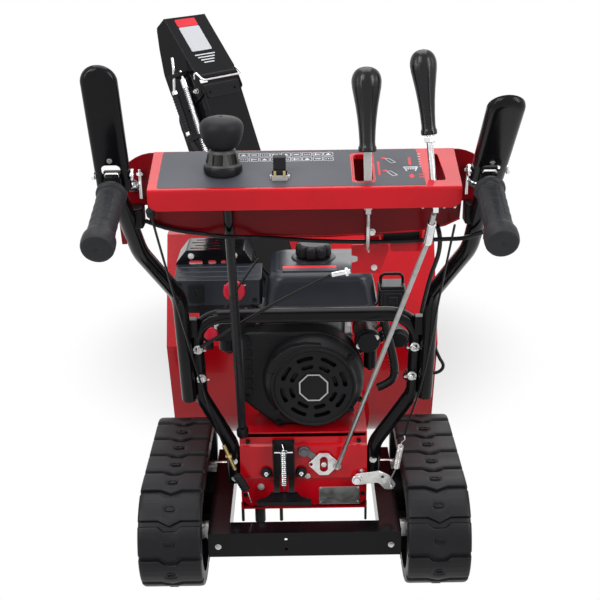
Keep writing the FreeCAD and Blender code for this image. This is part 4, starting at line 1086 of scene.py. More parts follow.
def buildPaddle(name, side):
    half, length, rows = paddle["half"], paddle["length"], paddle["rows"]
    tip = length - half
    section = [(0.0, 10.5), (0.0, 7.5), (0.9, 4.2), (3.4, 1.5), (7.5, 0.2), (13.0, 0.0)]
    mesh = bmesh.new()
    grid = []
    outline = [(0.0, tip * n / rows) for n in range(rows)] + [(math.pi / 2 * n / 12, tip)
            for n in range(13)]
    for turn, level in outline:
        row = []
        for edge, (inset, depth) in [(-1, spot) for spot in section] + [(1, spot)
                for spot in section[::-1]]:
            reach = half - inset
            row.append(mesh.verts.new((edge * reach * math.cos(turn), depth,
                    level + reach * math.sin(turn))))
        grid.append(row)
    for low, high in zip(grid, grid[1:]):
        for n in range(len(low) - 1):
            mesh.faces.new((low[n], low[n + 1], high[n + 1], high[n]))
    bmesh.ops.remove_doubles(mesh, verts=mesh.verts, dist=0.01)
    bmesh.ops.dissolve_degenerate(mesh, edges=mesh.edges, dist=0.001)
    bmesh.ops.recalc_face_normals(mesh, faces=mesh.faces)
    x, y, z = side * handle["wrists"][side], handle["wristY"] - 12, handle["wristZ"] + 12
    place = Matrix.Translation((x, y, z)) @ Matrix.Rotation(math.radians(handle["leans"][side]), 4, "X") \
        @ Matrix.Translation((0, 0, -22))
    mesh.transform(Matrix.Scale(0.001, 4) @ place)
    item = solid("paddle", mesh)
    wall = item.modifiers.new("wall", "SOLIDIFY")
    wall.thickness, wall.offset, wall.use_even_offset = paddle["sheet"] * 0.001, 0.0, True
    arch = rounding([(-14, 31), (14, 31), (14, 46), (-14, 46)], [2, 2, 13.9, 13.9], 8)
    cut = Form().slab("y", (-8, 20), arch).move(place)
    piece("paddle" + name, item, "blackPaint", ("clutch_lever_" + name.lower(),), bevel=0.5, cut=cut,
          smooth=35)
    # pivot block on the handle, its cross pin and the cable end seen through the arch
    block = Form().slab("x", (x - 13, x + 13), rounding([(y - 3, z - 24), (y + 15, z - 26),
            (y + 16, z + 10), (y - 1, z + 12)], 5))
    piece("paddleBlock" + name, block, "satinBlack", bevel=1.5)
    eye = Form().slab("y", (-2.4, 1), rectangle(-11, 11, 24, 32, 3.9)).move(place)
    piece("paddleEye" + name, eye, "zinc", bevel=0.6)
    rivet = [(place @ Vector((0, -1, z0)), place.to_3x3() @ Vector(aft), 0.8) for z0 in (12, 54)]
    fasteners("paddleRivets" + name, "roundHead", rivet)
    pin = Form().bar((x - 30, y + 6, z + 4), (x + 30, y + 6, z + 4), 3.6, 20, 0.8)
    pin.lathe([(2, 0), (8, 0), (9, 1.5), (9, 4), (8, 5.5), (2, 5.5)], (x - side * 26, y + 6, z + 4),
              (x - side * 40, y + 6, z + 4), 28)
    pin.lathe([(2, 0), (6.4, 0), (7, 1), (7, 4), (6.4, 5), (2, 5)], (x + side * 26, y + 6, z + 4),
              (x + side * 33, y + 6, z + 4), 6)
    piece("paddlePin" + name, pin, "chrome", bevel=0.4)


buildLoop()
for name, side in (("Left", -1), ("Right", 1)):
    buildHandle(name, side)
    buildGrip(name, side)
    buildPaddle(name, side)
print("handles ready")


# console

console = {"middle": 8.0, "half": 234.0, "rear": -505.0, "front": -395.0, "low": 900.0, "high": 936.0,
           "lip": 32.0, "slotOne": (84.0, 110.5), "slotRear": 18.0, "slotFront": 90.0,
           "decal": (-212.0, 189.0, 6.0, 109.0)}
slope = math.atan2(console["high"] - console["low"], console["front"] - console["rear"])
onPanel = Matrix.Translation((0, console["rear"], console["low"])) @ Matrix.Rotation(slope, 4, "X")


def panelZ(y):
    return console["low"] + math.tan(slope) * (y - console["rear"])


def buildConsole():
    left, right = console["middle"] - console["half"], console["middle"] + console["half"]
    rear, front, low, high = console["rear"], console["front"], console["low"], console["high"]
    wall = 2.0
    # the folded top: a lip, a rounded fold, the sloping face and a rounded fold at the crest
    outer = rounding([(rear, low - console["lip"]), (rear, low), (front, high), (front, high - 14)],
                     [0, 5, 6, 0], 6)
    inner = rounding([(rear + wall, low - console["lip"]), (rear + wall, low - 1.3),
                      (front - wall, high - wall - 0.7), (front - wall, high - 14)], [0, 3, 4, 0], 6)
    form = Form().slab("x", (left, right), outer + inner[::-1])
    cutter = Form()
    back, ahead = rear + console["slotRear"], rear + console["slotFront"]
    cutter.slab("z", (890, 960), rectangle(*console["slotOne"], back, ahead, 6))
    cutter.slab("z", (890, 960), rounding([(196, back), (220, back), (214, ahead), (204, ahead)], 5))
    cutter.slab("z", (890, 960), rectangle(-39, -19, -483, -465, 2))
    # cut the corners of the lip round
    for edge, way in ((left, 1), (right, -1)):
        corner = [(edge - way, low - 33), (edge + way * 16, low - 33)]
        for n in range(9):
            turn = math.pi / 2 * n / 8
            corner.append((edge + way * (16 - 16 * math.sin(turn)), low - 16 - 16 * math.cos(turn)))
        corner.append((edge - way, low - 16))
        cutter.slab("y", (rear - 5, rear + 3), corner)
    piece("consoleTop", form, "redPaint", ("console",), cut=cutter, bevel=0.5, limit=50, smooth=40)

    half = [(40, 793), (185, 800), (225, 809), (248, 820), (250, 848), (287, 848), (287, 783), (295, 783),
            (297, 820), (297, 884)]
    # the shoulder's arc: its centre at 235, 875 and its radius 62
    turns = [math.radians(8 + 86 * n / 8) for n in range(9)]
    rightSide = half[:-1] + [(235 + 62.0 * math.cos(turn), 875 + 62.0 * math.sin(turn) - 4.4)
            for turn in turns]
    middle = console["middle"]
    outline = [(middle + x, z) for x, z in rightSide] + [(middle - x, z) for x, z in rightSide[::-1]]
    skirt = Form().slab("y", (front - wall, front), outline)
    # the skirt takes the darkened red copy: painted shade under the console top
    piece("consoleSkirt", skirt, "deepRed", bevel=0.6, limit=50)

    # rolled edge under the skirt and a stiffener channel across it
    hem = [(-x, z) for x, z in half[:4][::-1]] + half[:4]
    roll = Form().rod([(middle + x, front - 1, z - 0.4) for x, z in hem], 2.2, 10)
    piece("skirtRoll", roll, "redPaint")
    rail = Form().slab("x", (60, 236), [(front - wall, 866), (front - 14, 866), (front - 14, 869),
            (front - wall, 869)])
    rail.slab("x", (92, 122), [(rear + wall, 872), (front - 13, 872), (front - 13, 880),
            (rear + wall, 880)])
    rail.slab("x", (196, 222), [(rear + wall, 872), (front - 13, 872), (front - 13, 880),
            (rear + wall, 880)])
    rail.slab("x", (-150, -80), [(rear + 8, 880), (front - 13, 880), (front - 13, 884), (rear + 8, 884)])
    piece("consoleRails", rail, "satinBlack", bevel=0.6)


def flat(form):
    return form.move(onPanel)


# how far the printed marks rise from the panel
printed = (0.3, 0.5)


def buildDecal():
    left, right, low, high = console["decal"]
    sheet = Form().slab("z", (-0.1, 0.35), rounding([(left, low), (right, low), (right - 7, high),
            (left + 1, high)], 3))
    reach = 1 / math.cos(slope)
    bezel = Form().slab("z", (-1, 2), rectangle(79, 115, (console["slotRear"] - 4) * reach,
            (console["slotFront"] + 5) * reach, 7))
    bezel.slab("z", (-1, 2), rectangle(-40, -18, 21 * reach, 41 * reach, 3))
    piece("consoleDecal", flat(sheet), "decalGrey", cut=flat(bezel), smooth=30)
    white, red = Form(), Form()

    def frameBox(form, u0, u1, v0, v1, line=0.8):
        for box in ((u0, u1, v0, v0 + line), (u0, u1, v1 - line, v1), (u0, u0 + line, v0, v1),
                    (u1 - line, u1, v0, v1)):
            form.slab("z", printed, rectangle(*box))

    # rows of small boxed marks: plain bars, dots and wedges
    for row, v in enumerate((91.0, 77.5)):
        for cell in range(9):
            u = -93 + 16.4 * cell
            frameBox(white, u, u + 15, v, v + 11)
            kind = (cell + row * 2) % 4
            if kind == 0:
                white.slab("z", printed, rounding([(u + 3, v + 3), (u + 12, v + 3), (u + 7.5, v + 8.4)],
                        0.4))
            elif kind == 1:
                white.slab("z", printed, rectangle(u + 3, u + 12, v + 4.4, v + 6.6, 1))
            elif kind == 2:
                for n in range(3):
                    white.slab("z", printed, disc(u + 4 + 3.5 * n, v + 5.5, 1.1, 12))
            else:
                white.slab("z", printed, rectangle(u + 3, u + 5.2, v + 2.6, v + 8.4, 0.3))
                white.slab("z", printed, rectangle(u + 5, u + 12, v + 4.6, v + 6.4, 0.3))
    # chute marks: two outlined leaves and a boxed comb, red arrows and bars beside them
    for v in (72.0, 36.0):
        leaf = [(132, v + 9), (139, v + 9), (148, v - 2), (141, v - 4)]
        for n in range(4):
            first, second = Vector(leaf[n]), Vector(leaf[(n + 1) % 4])
            normal = (second - first).normalized().to_3d().cross(Vector((0, 0, 1))).to_2d() * 0.45
            white.slab("z", printed, [first + normal, second + normal, second - normal, first - normal])
        red.slab("z", printed, [(125, v + 10), (132, v + 14), (134, v + 8), (129, v + 7)])
    red.slab("z", printed, rectangle(119.5, 123, 34, 74, 0.6))
    for n in range(7):
        white.slab("z", printed, rectangle(160.5 + 2.6 * n, 162 + 2.6 * n, 49, 54, 0.2))
    white.slab("z", printed, [(158, 55), (181, 55), (181, 57), (158, 57)])
    white.slab("z", printed, [(158, 57), (160, 57), (164, 45), (162, 44)])
    white.slab("z", printed, [(179, 57), (181, 57), (177, 44), (175, 45)])
    red.slab("z", printed, rectangle(167.5, 171.5, 62, 84, 0.6))
    red.slab("z", printed, [(168, 36), (171, 36), (174, 30), (169.5, 24), (165, 30)])
    for n in range(6):
        white.slab("z", printed, rectangle(183 + n * 0.1, 187 + n * 0.1 - 0.4 * n, 92 - 7.2 * n,
                93.4 - 7.2 * n))
    for n in range(2):
        red.slab("z", printed, rectangle(180.5, 188, 33 - 7 * n, 36 - 7 * n, 0.6))
    piece("panelMarksWhite", flat(white), "whiteMark")
    piece("panelMarksRed", flat(red), "redMark")
    # turned-down edge inside the first lever slot
    edge = Form()
    rear, ahead = console["slotRear"] * reach, console["slotFront"] * reach
    edge.slab("z", (-9, 0.6), rectangle(console["slotOne"][0] - 3, console["slotOne"][1] + 3, rear - 3,
            ahead + 3, 8))
    hole = Form().slab("z", (-20, 20), rectangle(console["slotOne"][0] - 0.6, console["slotOne"][1] + 0.6,
            rear - 0.6, ahead + 0.6, 6))
    piece("slotEdge", flat(edge), "redPaint", cut=flat(hole), bevel=0.8)


def buildBrackets():
    back = console["front"]
    form = Form().slab("y", (back, back + 2), rounding([(146, 764), (197, 764), (197, 840), (131, 840),
            (131, 778), (146, 778)], 2))
    hole = Form().slab("y", (back - 5, back + 5), rectangle(134, 193, 783, 801, 1))
    piece("lampPlate", form, "redPaint", ("console_brackets",), cut=hole, bevel=0.4)
    form = Form().slab("y", (back, back + 2), rounding([(83, 727), (129, 727), (144, 767), (142, 776),
            (128, 776), (128, 806), (104, 806), (104, 776), (83, 776), (83, 758), (93, 756), (93, 748),
            (83, 746)], 1.5))
    piece("cablePlate", form, "redPaint", bevel=0.4)
    lamp = Form().slab("x", (132, 195), rounding([(-393, 780), (-351, 776), (-345, 780), (-345, 804),
            (-351, 808), (-393, 804)], 3))
    for n in range(6):
        lamp.slab("x", (138 + 9 * n, 140 + 9 * n), [(-392, 802), (-356, 802), (-356, 809), (-392, 807)])
    piece("lampCase", lamp, "blackPlastic", ("lamp",), bevel=1.5)
    glass = Form().slab("y", (-347, -344.4), rectangle(137, 190, 782, 802, 4))
    piece("lampLens", glass, "paleLabel", bevel=0.8)
    for n, x in enumerate((150, 177)):
        cup = Form().lathe([(3, 0), (9.4, 0.4), (9.4, 1.4), (3, 0.8)], (x, -344.8, 792), (x, -343, 792), 24)
        piece("lampCup" + str(n), cup, "chrome")
    fasteners("bracketBolts", "hexBolt", [((116, back - 2, 798), aft, 0.8), ((120, back, 737), aft, 0.7)])


def wingNut(form, spot, facing, size=1.0):
    # a boss with two ears, on a point
    spot, way = Vector(spot), Vector(facing).normalized()
    side, up = frameAlong(way)
    form.lathe([(3, 0), (6.5 * size, 0), (5.5 * size, 8 * size), (4.6 * size, 9 * size), (3, 9 * size)],
               spot, spot + way, 20)
    form.bar(spot, spot + way * 14 * size, 2.6 * size, 12)
    turn = Matrix((side, up, way)).transposed().to_4x4()
    for ear in (-1, 1):
        outline = [(ear * 4, 2), (ear * 8, 4), (ear * 15, 12), (ear * 13, 17), (ear * 9, 15), (ear * 4, 8)]
        outline = [(u * size, v * size) for u, v in rounding(outline, 2)]
        form.join(Form().slab("y", (-1.4, 1.4), outline).move(Matrix.Translation(spot) @ turn))


def buildConsoleHardware():
    form = Form()
    for side, x in ((-1, -262.0), (1, 276.0)):
        wingNut(form, (x, -398, 880), (side * 0.35, -1, 0.25), 1.0)
        form.lathe([(3, 0), (9, 0), (10, 1), (10, 2.4), (3, 2.4)], (x, -397, 880), (x, -400, 880), 28)
        wingNut(form, (x + side * 4, -398, 838), (side * 0.6, -1, -0.1), 0.8)
        form.lathe([(3, 0), (10, 0), (11, 1), (11, 3), (3, 3)], (x + side * 4, -397, 838),
                   (x + side * 4, -400, 838), 28)
        form.bar((x - side * 12, -402, 908), (x - side * 12, -402, 860), 2.6, 14)
        form.lathe([(2, 0), (5.2, 0), (6, 1), (6, 4), (5.2, 5), (2, 5)], (x - side * 12, -402, 898),
                   (x - side * 12, -402, 903), 6)
    piece("consoleClamps", form, "chrome", bevel=0.4)
    blocks = Form()
    for side, x in ((-1, -262.0), (1, 276.0)):
        blocks.slab("z", (820, 852), rectangle(x - 17, x + 17, -436, -399, 6))
    piece("clampBlocks", blocks, "satinBlack", bevel=2.0)
    fasteners("lipScrews", "nut", [((186 + 16 * n, -488, 870), (0, 0, -1), 0.7) for n in range(4)])


stick = {"joystick": (-115.5, -451.0), "toggle": (-29.0, -474.0), "leverLength": 122.0}


def leverGrip(name, foot, top, node, shaft, facets, width):
    foot, top = Vector(foot), Vector(top)
    way = (top - foot).normalized()
    length = stick["leverLength"]
    start = top - way * length
    side, up = frameAlong(way)
    profile = [(6, -3), (12, -3), (13.2, -1.5), (13.2, 3), (12.6, 4.6), (11.8, 6), (11.4, 11), (12.2, 28),
               (13.8, 46), (16.2, 64), (19, 80), (20.9, 91), (21.6, 99)]
    for n in range(1, 10):
        turn = math.pi / 2 * n / 9
        profile.append((max(21.6 * math.cos(turn) ** 0.8, 0.05), 99 + 22.6 * math.sin(turn)))
    profile = [(radius * width, height) for radius, height in profile]
    rings = []
    for radius, height in profile:
        ring = []
        for n in range(60):
            angle = 2 * math.pi * n / 60
            share = min(max((height - 12) / 60, 0), 1) * min(max((119 - height) / 12, 0), 1)
            flute = 0.9 * share * (0.5 + 0.5 * math.cos(facets * angle)) ** 4
            ring.append(start + way * height + side * (radius - flute) * math.cos(angle) + up
                        * (radius - flute) * math.sin(angle))
        rings.append(ring)
    piece(name, Form().loft(rings), "leverPlastic", smooth=35)
    if shaft == "flat":
        form = Form().slab("z", (0, (top - foot).length - 60), rectangle(-6, 6, -2, 2, 0.8))
        form.move(Matrix.Translation(foot) @ Matrix((way.cross(Vector((0, 1, 0))).normalized() * -1,
                way.cross(way.cross(Vector((0, 1, 0)))).normalized() * -1, way)).transposed().to_4x4())
        finish = "plateSilver"
    else:
        form = Form().bar(foot, top - way * 60, 5, 24, 1)
        form.lathe([(4, 0), (8.2, 0), (9, 1), (9, 8), (8.2, 9), (4, 9)], start - way * 14, start, 6)
        finish = "chrome"
    form.slab("x", (foot.x - 4, foot.x + 4), rounding([(foot.y - 6, 856), (-397, 856), (-397, 866),
            (foot.y - 6, 868)], 2))
    piece(name + "Shaft", form, finish, (node,), bevel=0.3)


def buildJoystick():
    x, y = stick["joystick"]
    base = panelZ(y)
    seat = Form().lathe([(25, -6), (28.5, -6), (29.5, 0), (29.5, 5.5), (28, 8), (20, 9), (4, 9)],
                        (x, y, base), (x, y, base + 9), 64)
    piece("joystickSeat", seat, "blackPlastic", bevel=0.5)
    cone = Form().lathe([(4, 6), (27, 6), (27.6, 8), (26.4, 11), (22.2, 26), (20.6, 30), (19.4, 31.4),
                         (14, 32), (4, 32)], (x, y, base), (x, y, base + 9), 64)
    gaps = Form()
    for n in range(6):
        angle = 2 * math.pi * (n + 0.25) / 6
        panel = Form().slab("y", (-8.5, 8.5), [(20.5, 11), (30, 11), (30, 27), (18.8, 27)])
        gaps.join(panel.move(Matrix.Translation((x, y, base)) @ Matrix.Rotation(angle, 4, "Z")))
    piece("joystickCone", cone, "coneGrey", ("joystick",), cut=gaps, bevel=0.6, smooth=35)
    core = Form().lathe([(4, 7), (24.6, 9), (19, 30), (4, 30)], (x, y, base), (x, y, base + 9), 48)
    core.lathe([(4, 28), (11.5, 28), (11.5, 40), (4, 40)], (x, y, base), (x, y, base + 9), 32)
    piece("joystickCore", core, "blackPlastic", bevel=0.4)
    profile = [(4, 33), (18, 33.4), (21.4, 34.6), (24.6, 37), (28, 43), (30.6, 50), (32.6, 57),
               (33.4, 62.6), (33.2, 66.4), (32.2, 70), (30, 73.4), (26.6, 76.4), (22, 78.6), (16, 80.2),
               (9, 81), (3, 81.2), (2.2, 80.4), (0.05, 80.2)]
    rings = [[(x + r * u, y + r * v, base + h) for u, v in circle(72)] for r, h in profile]
    piece("joystickKnob", Form().loft(rings), "softBlack", smooth=32)


def buildToggle():
    x, y = stick["toggle"]
    low = panelZ(y)
    metal = Form().slab("z", (low - 12, low + 5), rectangle(x - 12.5, x + 12.5, y - 9.5, y + 9.5, 2))
    metal.slab("z", (low - 6, low + 3.4), rectangle(x - 15.5, x + 15.5, y - 5, y + 5, 2))
    piece("toggleBase", metal, "plateSilver", bevel=0.7)
    form = Form().slab("z", (low + 3, low + 12), rectangle(x - 11.5, x + 11.5, y - 8.5, y + 8.5, 2))
    form.slab("x", (x - 9.5, x + 9.5), rounding([(y - 6, low + 10), (y + 8, low + 10), (y + 13, low + 29),
            (y + 8, low + 33), (y - 1, low + 30)], 3))
    piece("toggleRocker", form, "blackPlastic", ("toggle_switch",), bevel=1.0)
    lugs = Form()
    for side in (-1, 1):
        lugs.slab("y", (y - 11, y - 9), rectangle(x + side * 7 - 2, x + side * 7 + 2, low + 1, low + 12, 1))
    piece("toggleLugs", lugs, "brass", bevel=0.3)


buildConsole()
buildDecal()
buildBrackets()
buildConsoleHardware()
leverGrip("deflectorLeverGrip", (103.5, -490, 862), (101, -455, 1071), "deflector_lever", "flat", 5, 1.04)
leverGrip("speedLeverGrip", (205, -487.5, 862), (182, -455, 1094.5), "speed_lever", "round", 5, 0.92)
buildJoystick()
buildToggle()
print("console ready")


# rear cover, pedal, linkages

def buildRearCover():
    outline = [(-129, 124), (129, 124), (129, 282), (-129, 282)]
    face = rounding(outline, [24, 24, 3, 3], 6)
    form = Form().slab("y", (-122.6, -120), [(u, v) for u, v in face])
    step = rounding([(-129, 187), (129, 187), (129, 268), (-129, 268)], 2)
    raised = rounding([(-129, 191), (129, 191), (129, 264), (-129, 264)], 2)
    form.slab("y", (-122, -128.6), step, raised)
    piece("rearCover", form, "redPaint", ("rear_cover",), bevel=1.0, limit=20)
    spots = [((-121, -122.6, 150), aft, 0.9), ((121, -122.6, 150), aft, 0.9), ((-112, -126, 274), aft, 0.9),
             ((112, -126, 274), aft, 0.9)]
    fasteners("coverBolts", "roundHead", spots, "satinBlack")
    plate = Form().slab("y", (-124, -122.4), rectangle(31, 115, 126, 166, 3))
    piece("dataPlate", plate, "plateSilver", bevel=0.5)
    fasteners("plateRivets", "roundHead", [((x, -124, z), aft, 0.5) for x in (35, 111) for z in (130, 162)])
    # eye bolts in rubber washers, and the bolts below them
    rubber, metal = Form(), Form()
    for x in (-76, -5):
        rubber.lathe([(3, 0), (10, 0), (11, 2), (11, 7), (9.6, 9), (3, 9)], (x, -128, 207), (x, -138, 207),
                     32)
        metal.lathe([(2, 8), (5, 8), (5.4, 9), (5.4, 11), (4.8, 12), (2, 12)], (x, -128, 207),
                    (x, -138, 207), 6)
        metal.bar((x, -138, 207), (x, -146, 207), 2.4, 16)
    piece("eyeWashers", rubber, "softBlack", bevel=0.5)
    piece("eyeBolts", metal, "chrome", bevel=0.4)
    fasteners("lowCoverBolts", "hexBolt", [((-88, -123, 169), aft), ((8, -129, 196), aft, 0.8),
            ((118, -129, 205), aft, 0.8)])
    posts = Form()
    for x, radius in ((-128, 3.2), (-92, 11), (-48, 3.6), (128, 2.6)):
        posts.bar((x, -108, 78), (x, -108, 124), radius, 20, 1)
    piece("tubPosts", posts, "satinBlack", bevel=0.4)


pedal = {"middle": -40.0, "half": 22.0, "top": 280.0, "neck": 196.0, "rear": -190.0, "foot": 164.0,
         "spread": 55.0}


def buildPedal():
    x, wall, face = pedal["middle"], 3.0, -129.2
    low, top = pedal["neck"], pedal["top"]
    form = Form()
    for side in (-1, 1):
        near, far = sorted((x + side * pedal["half"], x + side * (pedal["half"] - wall)))
        form.slab("x", (near, far), rounding([(face, low - 2), (face, top), (face - 18, top),
                (face - 22, top - 6), (face - 22, low + 20), (face - 12, low)], 3))
    form.slab("x", (x - pedal["half"], x + pedal["half"]),
              [(face, low + 4), (face, top), (face - wall, top), (face - wall, low + 4)])
    # the neck runs down and out to the foot plate
    neck = rounding([(face, low + 10), (face - wall, low + 10), (face - wall - 1, low - 6), (-160, 176),
                     (-160, 172.6), (-154, 172.6), (face - 1, low - 12)], 1)
    for side in (-1, 1):
        near, far = sorted((x + side * (pedal["half"] - 1), x + side * 9))
        form.slab("x", (near, far), neck)
    rear, foot = pedal["rear"], pedal["foot"]
    plate = [(x - 26, -150), (x - 34, -168), (x - pedal["spread"], rear + 10),
             (x - pedal["spread"], rear + 2), (x + pedal["spread"], rear + 2),
             (x + pedal["spread"], rear + 10), (x + 34, -168), (x + 26, -150)]
    form.slab("z", (foot + 5, foot + 8), rounding(plate, [2, 8, 5, 2, 2, 5, 8, 2]))
    form.slab("y", (rear, rear + 3), rounding([(x - pedal["spread"], foot - 1),
            (x + pedal["spread"], foot - 1), (x + pedal["spread"], foot + 8),
            (x - pedal["spread"], foot + 8)], [4, 4, 1, 1]))
    piece("tiltPedal", form, "satinBlack", ("tilt_pedal",), bevel=0.7)
    coil("pedalSpring", (x, -147, 264), (x, -153, 190), 5.6, 1.25, 17, "chrome")
    hooks = Form().rod([(x, -147, 262), (x, -147, 270), (x - 2, -142, 275), (x, -134, 273)], 1.3, 10)
    hooks.rod([(x, -153, 192), (x, -154, 182), (x + 2, -152, 176), (x, -146, 176)], 1.3, 10)
    hooks.bar((x - 19, -143, 258), (x + 19, -143, 258), 1.6, 16)
    piece("pedalHooks", hooks, "chrome")


linkage = {"shift": (41.0, -133.0, 226.0), "arm": (108.0, -140.0, 192.0), "rodFoot": (-121, -134, 302),
           "rodTop": (-111, -453, 880)}


def buildLinkages():
    x, back, z = linkage["shift"]
    outline = rounding([(x - 33, z), (x - 9, z - 25), (x + 9, z - 25), (x + 33, z), (x + 9, z + 25),
                        (x - 9, z + 25)], [6, 4, 4, 6, 4, 4])
    hole = Form().slab("y", (back - 9, back + 9), rectangle(x - 8, x + 8, z - 17, z + 17, 7.9))
    hole.slab("y", (back - 9, back + 9), disc(x - 26, z, 3.5, 20))
    piece("shiftPlate", Form().slab("y", (back - 3, back), outline), "zinc", ("shift_plate",), bevel=0.6,
          cut=hole)
    stud = Form().bar((x, -128, z + 2), (x, back - 9, z + 2), 3.4, 24, 0.8)
    stud.lathe([(2, 0), (5.6, 0), (6, 0.8), (6, 4), (5.6, 4.8), (2, 4.8)], (x, back - 3.4, z + 2),
               (x, back - 6, z + 2), 6)
    piece("shiftStud", stud, "zinc", bevel=0.4)
    lug = Form().lathe([(3, 0), (11, 0), (11.6, 1), (11.6, 7), (11, 8), (3, 8)], (x - 40, -128.5, z + 29),
                       (x - 40, -138, z + 29), 28)
    lug.lathe([(2, 8), (7, 8), (7, 12), (2, 12)], (x - 40, -128.5, z + 29), (x - 40, -138, z + 29), 28)
    lug.slab("y", (-131.6, -128.4), rounding([(x - 50, z + 34), (x - 40, z + 40), (x - 12, z + 16),
            (x - 22, z + 6)], 5))
    piece("shiftLug", lug, "castIron", bevel=0.4)

    ax, face, az = linkage["arm"]
    outline = rounding([(ax - 2, az - 13), (ax + 44, az - 8), (ax + 58, az - 24), (ax + 74, az - 25),
                        (ax + 79, az - 12), (ax + 66, az + 8), (ax + 44, az + 19), (ax, az + 13),
                        (ax - 12, az)], [10, 8, 6, 8, 6, 8, 8, 10, 6])
    hole = Form().slab("y", (face - 9, face + 9), disc(ax + 70, az - 15, 3.5, 20))
    hole.slab("y", (face - 9, face + 9), disc(ax + 52, az + 5, 3, 20))
    piece("driveArm", Form().slab("y", (face, face + 4), outline), "zinc", ("drive_arm",), bevel=0.7,
          cut=hole)
    hub = Form().bar((ax, -128, az), (ax, face - 1, az), 7, 28, 0.8)
    hub.lathe([(3, 0), (9.6, 0), (10.4, 1), (10.4, 3), (3, 3)], (ax, face, az), (ax, face - 3, az), 28)
    hub.lathe([(3, 3), (7.6, 3), (8.2, 4), (8.2, 8), (7.6, 9), (3, 9)], (ax, face, az), (ax, face - 3, az),
              6)
    hub.bar((ax + 70, face - 5, az - 15), (ax + 70, face + 6, az - 15), 3.3, 16, 0.6)
    piece("armHub", hub, "chrome", bevel=0.4)

    line = bentLine([(x + 27, -142, z - 4), (201, -432, 790), (204, -476, 850)], [20])
    rod = Form().rod(line, 4.4, 20)
    rod.lathe([(3, 0), (8, 0), (8.6, 1), (8.6, 4), (8, 5), (3, 5)], (x + 27, -132, z - 4),
              (x + 27, -142, z - 4), 24)
    rod.bar((x + 27, -130, z - 4), (x + 27, -148, z - 4), 3.4, 16)
    piece("speedRod", rod, "plateSilver", ("speed_rod",), bevel=0.3)
    sleeve = Form().lathe([(4, 0), (7, 0.6), (7.6, 2), (7.6, 52), (7, 53.4), (4, 54)], (201, -432, 790),
                          (204, -476, 850), 24)
    piece("speedSleeve", sleeve, "chrome", bevel=0.3)

    start, end = Vector(linkage["rodFoot"]), Vector(linkage["rodTop"])
    piece("chuteRodBar", Form().bar(start, end, 7.6, 28, 0.8), "blackPaint", ("chute_rod",))
    beads("chuteRodRibs", along(start, end, 66, 0.01, 0.64), 7.3, 1.15, "softBlack",
          slotName="black_plastic")
    collar = Form().lathe([(4, 0), (9.4, 0), (10, 1), (10, 7), (9.4, 8), (4, 8)],
                          end - (end - start).normalized() * 26, end, 28)
    piece("chuteRodCollar", collar, "brass", bevel=0.3)
    foot = Form().lathe([(4, 0), (11, 0), (12, 1.5), (12, 16), (10, 20), (8, 26), (4, 26)],
                        start - Vector((0, 0, 6)), end, 28)
    piece("chuteRodBoot", foot, "satinBlack", bevel=0.4)


# each cable: its radius and its route through the clips
cables = {"lampCable": (3.6, [(-246, -403, 824), (-215, -403, 810), (-154, -403, 801), (-130, -428, 804),
        (-94, -428, 802), (-70, -403, 794), (-32, -403, 791), (42, -403, 785), (144, -403, 783),
        (234, -404, 787), (252, -414, 790), (268, -437, 800), (286, -448, 812)]),
          "deflectorCable": (3, [(48, -388, 721), (-36, -330, 658), (-117, -274, 587), (-186, -228, 528)]),
          "clutchCableLeft": (2, [(-230, -459, 857), (-224, -386, 754), (-205.5, -226, 519),
        (-192, -196, 435), (-172, -174, 341), (-158, -161, 288)]),
          "clutchCableRight": (2, [(243, -434, 819), (241, -300, 650), (237, -232, 527), (224, -206, 423),
        (203, -174, 332), (200, -166, 306)]), "switchCable": (3.8,
        [(220, -404, 808), (233, -385, 774), (218, -316, 681), (217, -249, 600)]),
          "loopCable": (3.2, [(247, -183, 516), (257, -188, 486), (272, -190, 464), (254, -190, 448),
        (226, -190, 452)]), "starterCord": (2.2, [(-82, -68, 645), (-134, -86, 578), (-152, -112, 552)]),
          "toggleCable": (1.8, [(-40, -440, 872), (-36, -446, 862), (-22, -446, 858), (-8, -430, 864),
        (4, -412, 872)]), "engineHose": (8.2, [(159, -73, 532), (166, -78, 505), (180, -84, 450),
        (187, -86, 410), (180, -86, 384), (152, -84, 372)]),
          "switchWires": (3.0, [(176, -55, 540), (170, -66, 520), (160, -74, 506), (146, -76, 496)]),
          "sparkLead": (3.2, [(-92, -20, 512), (-128, -58, 524), (-150, -74, 520), (-168, -70, 500)]), }


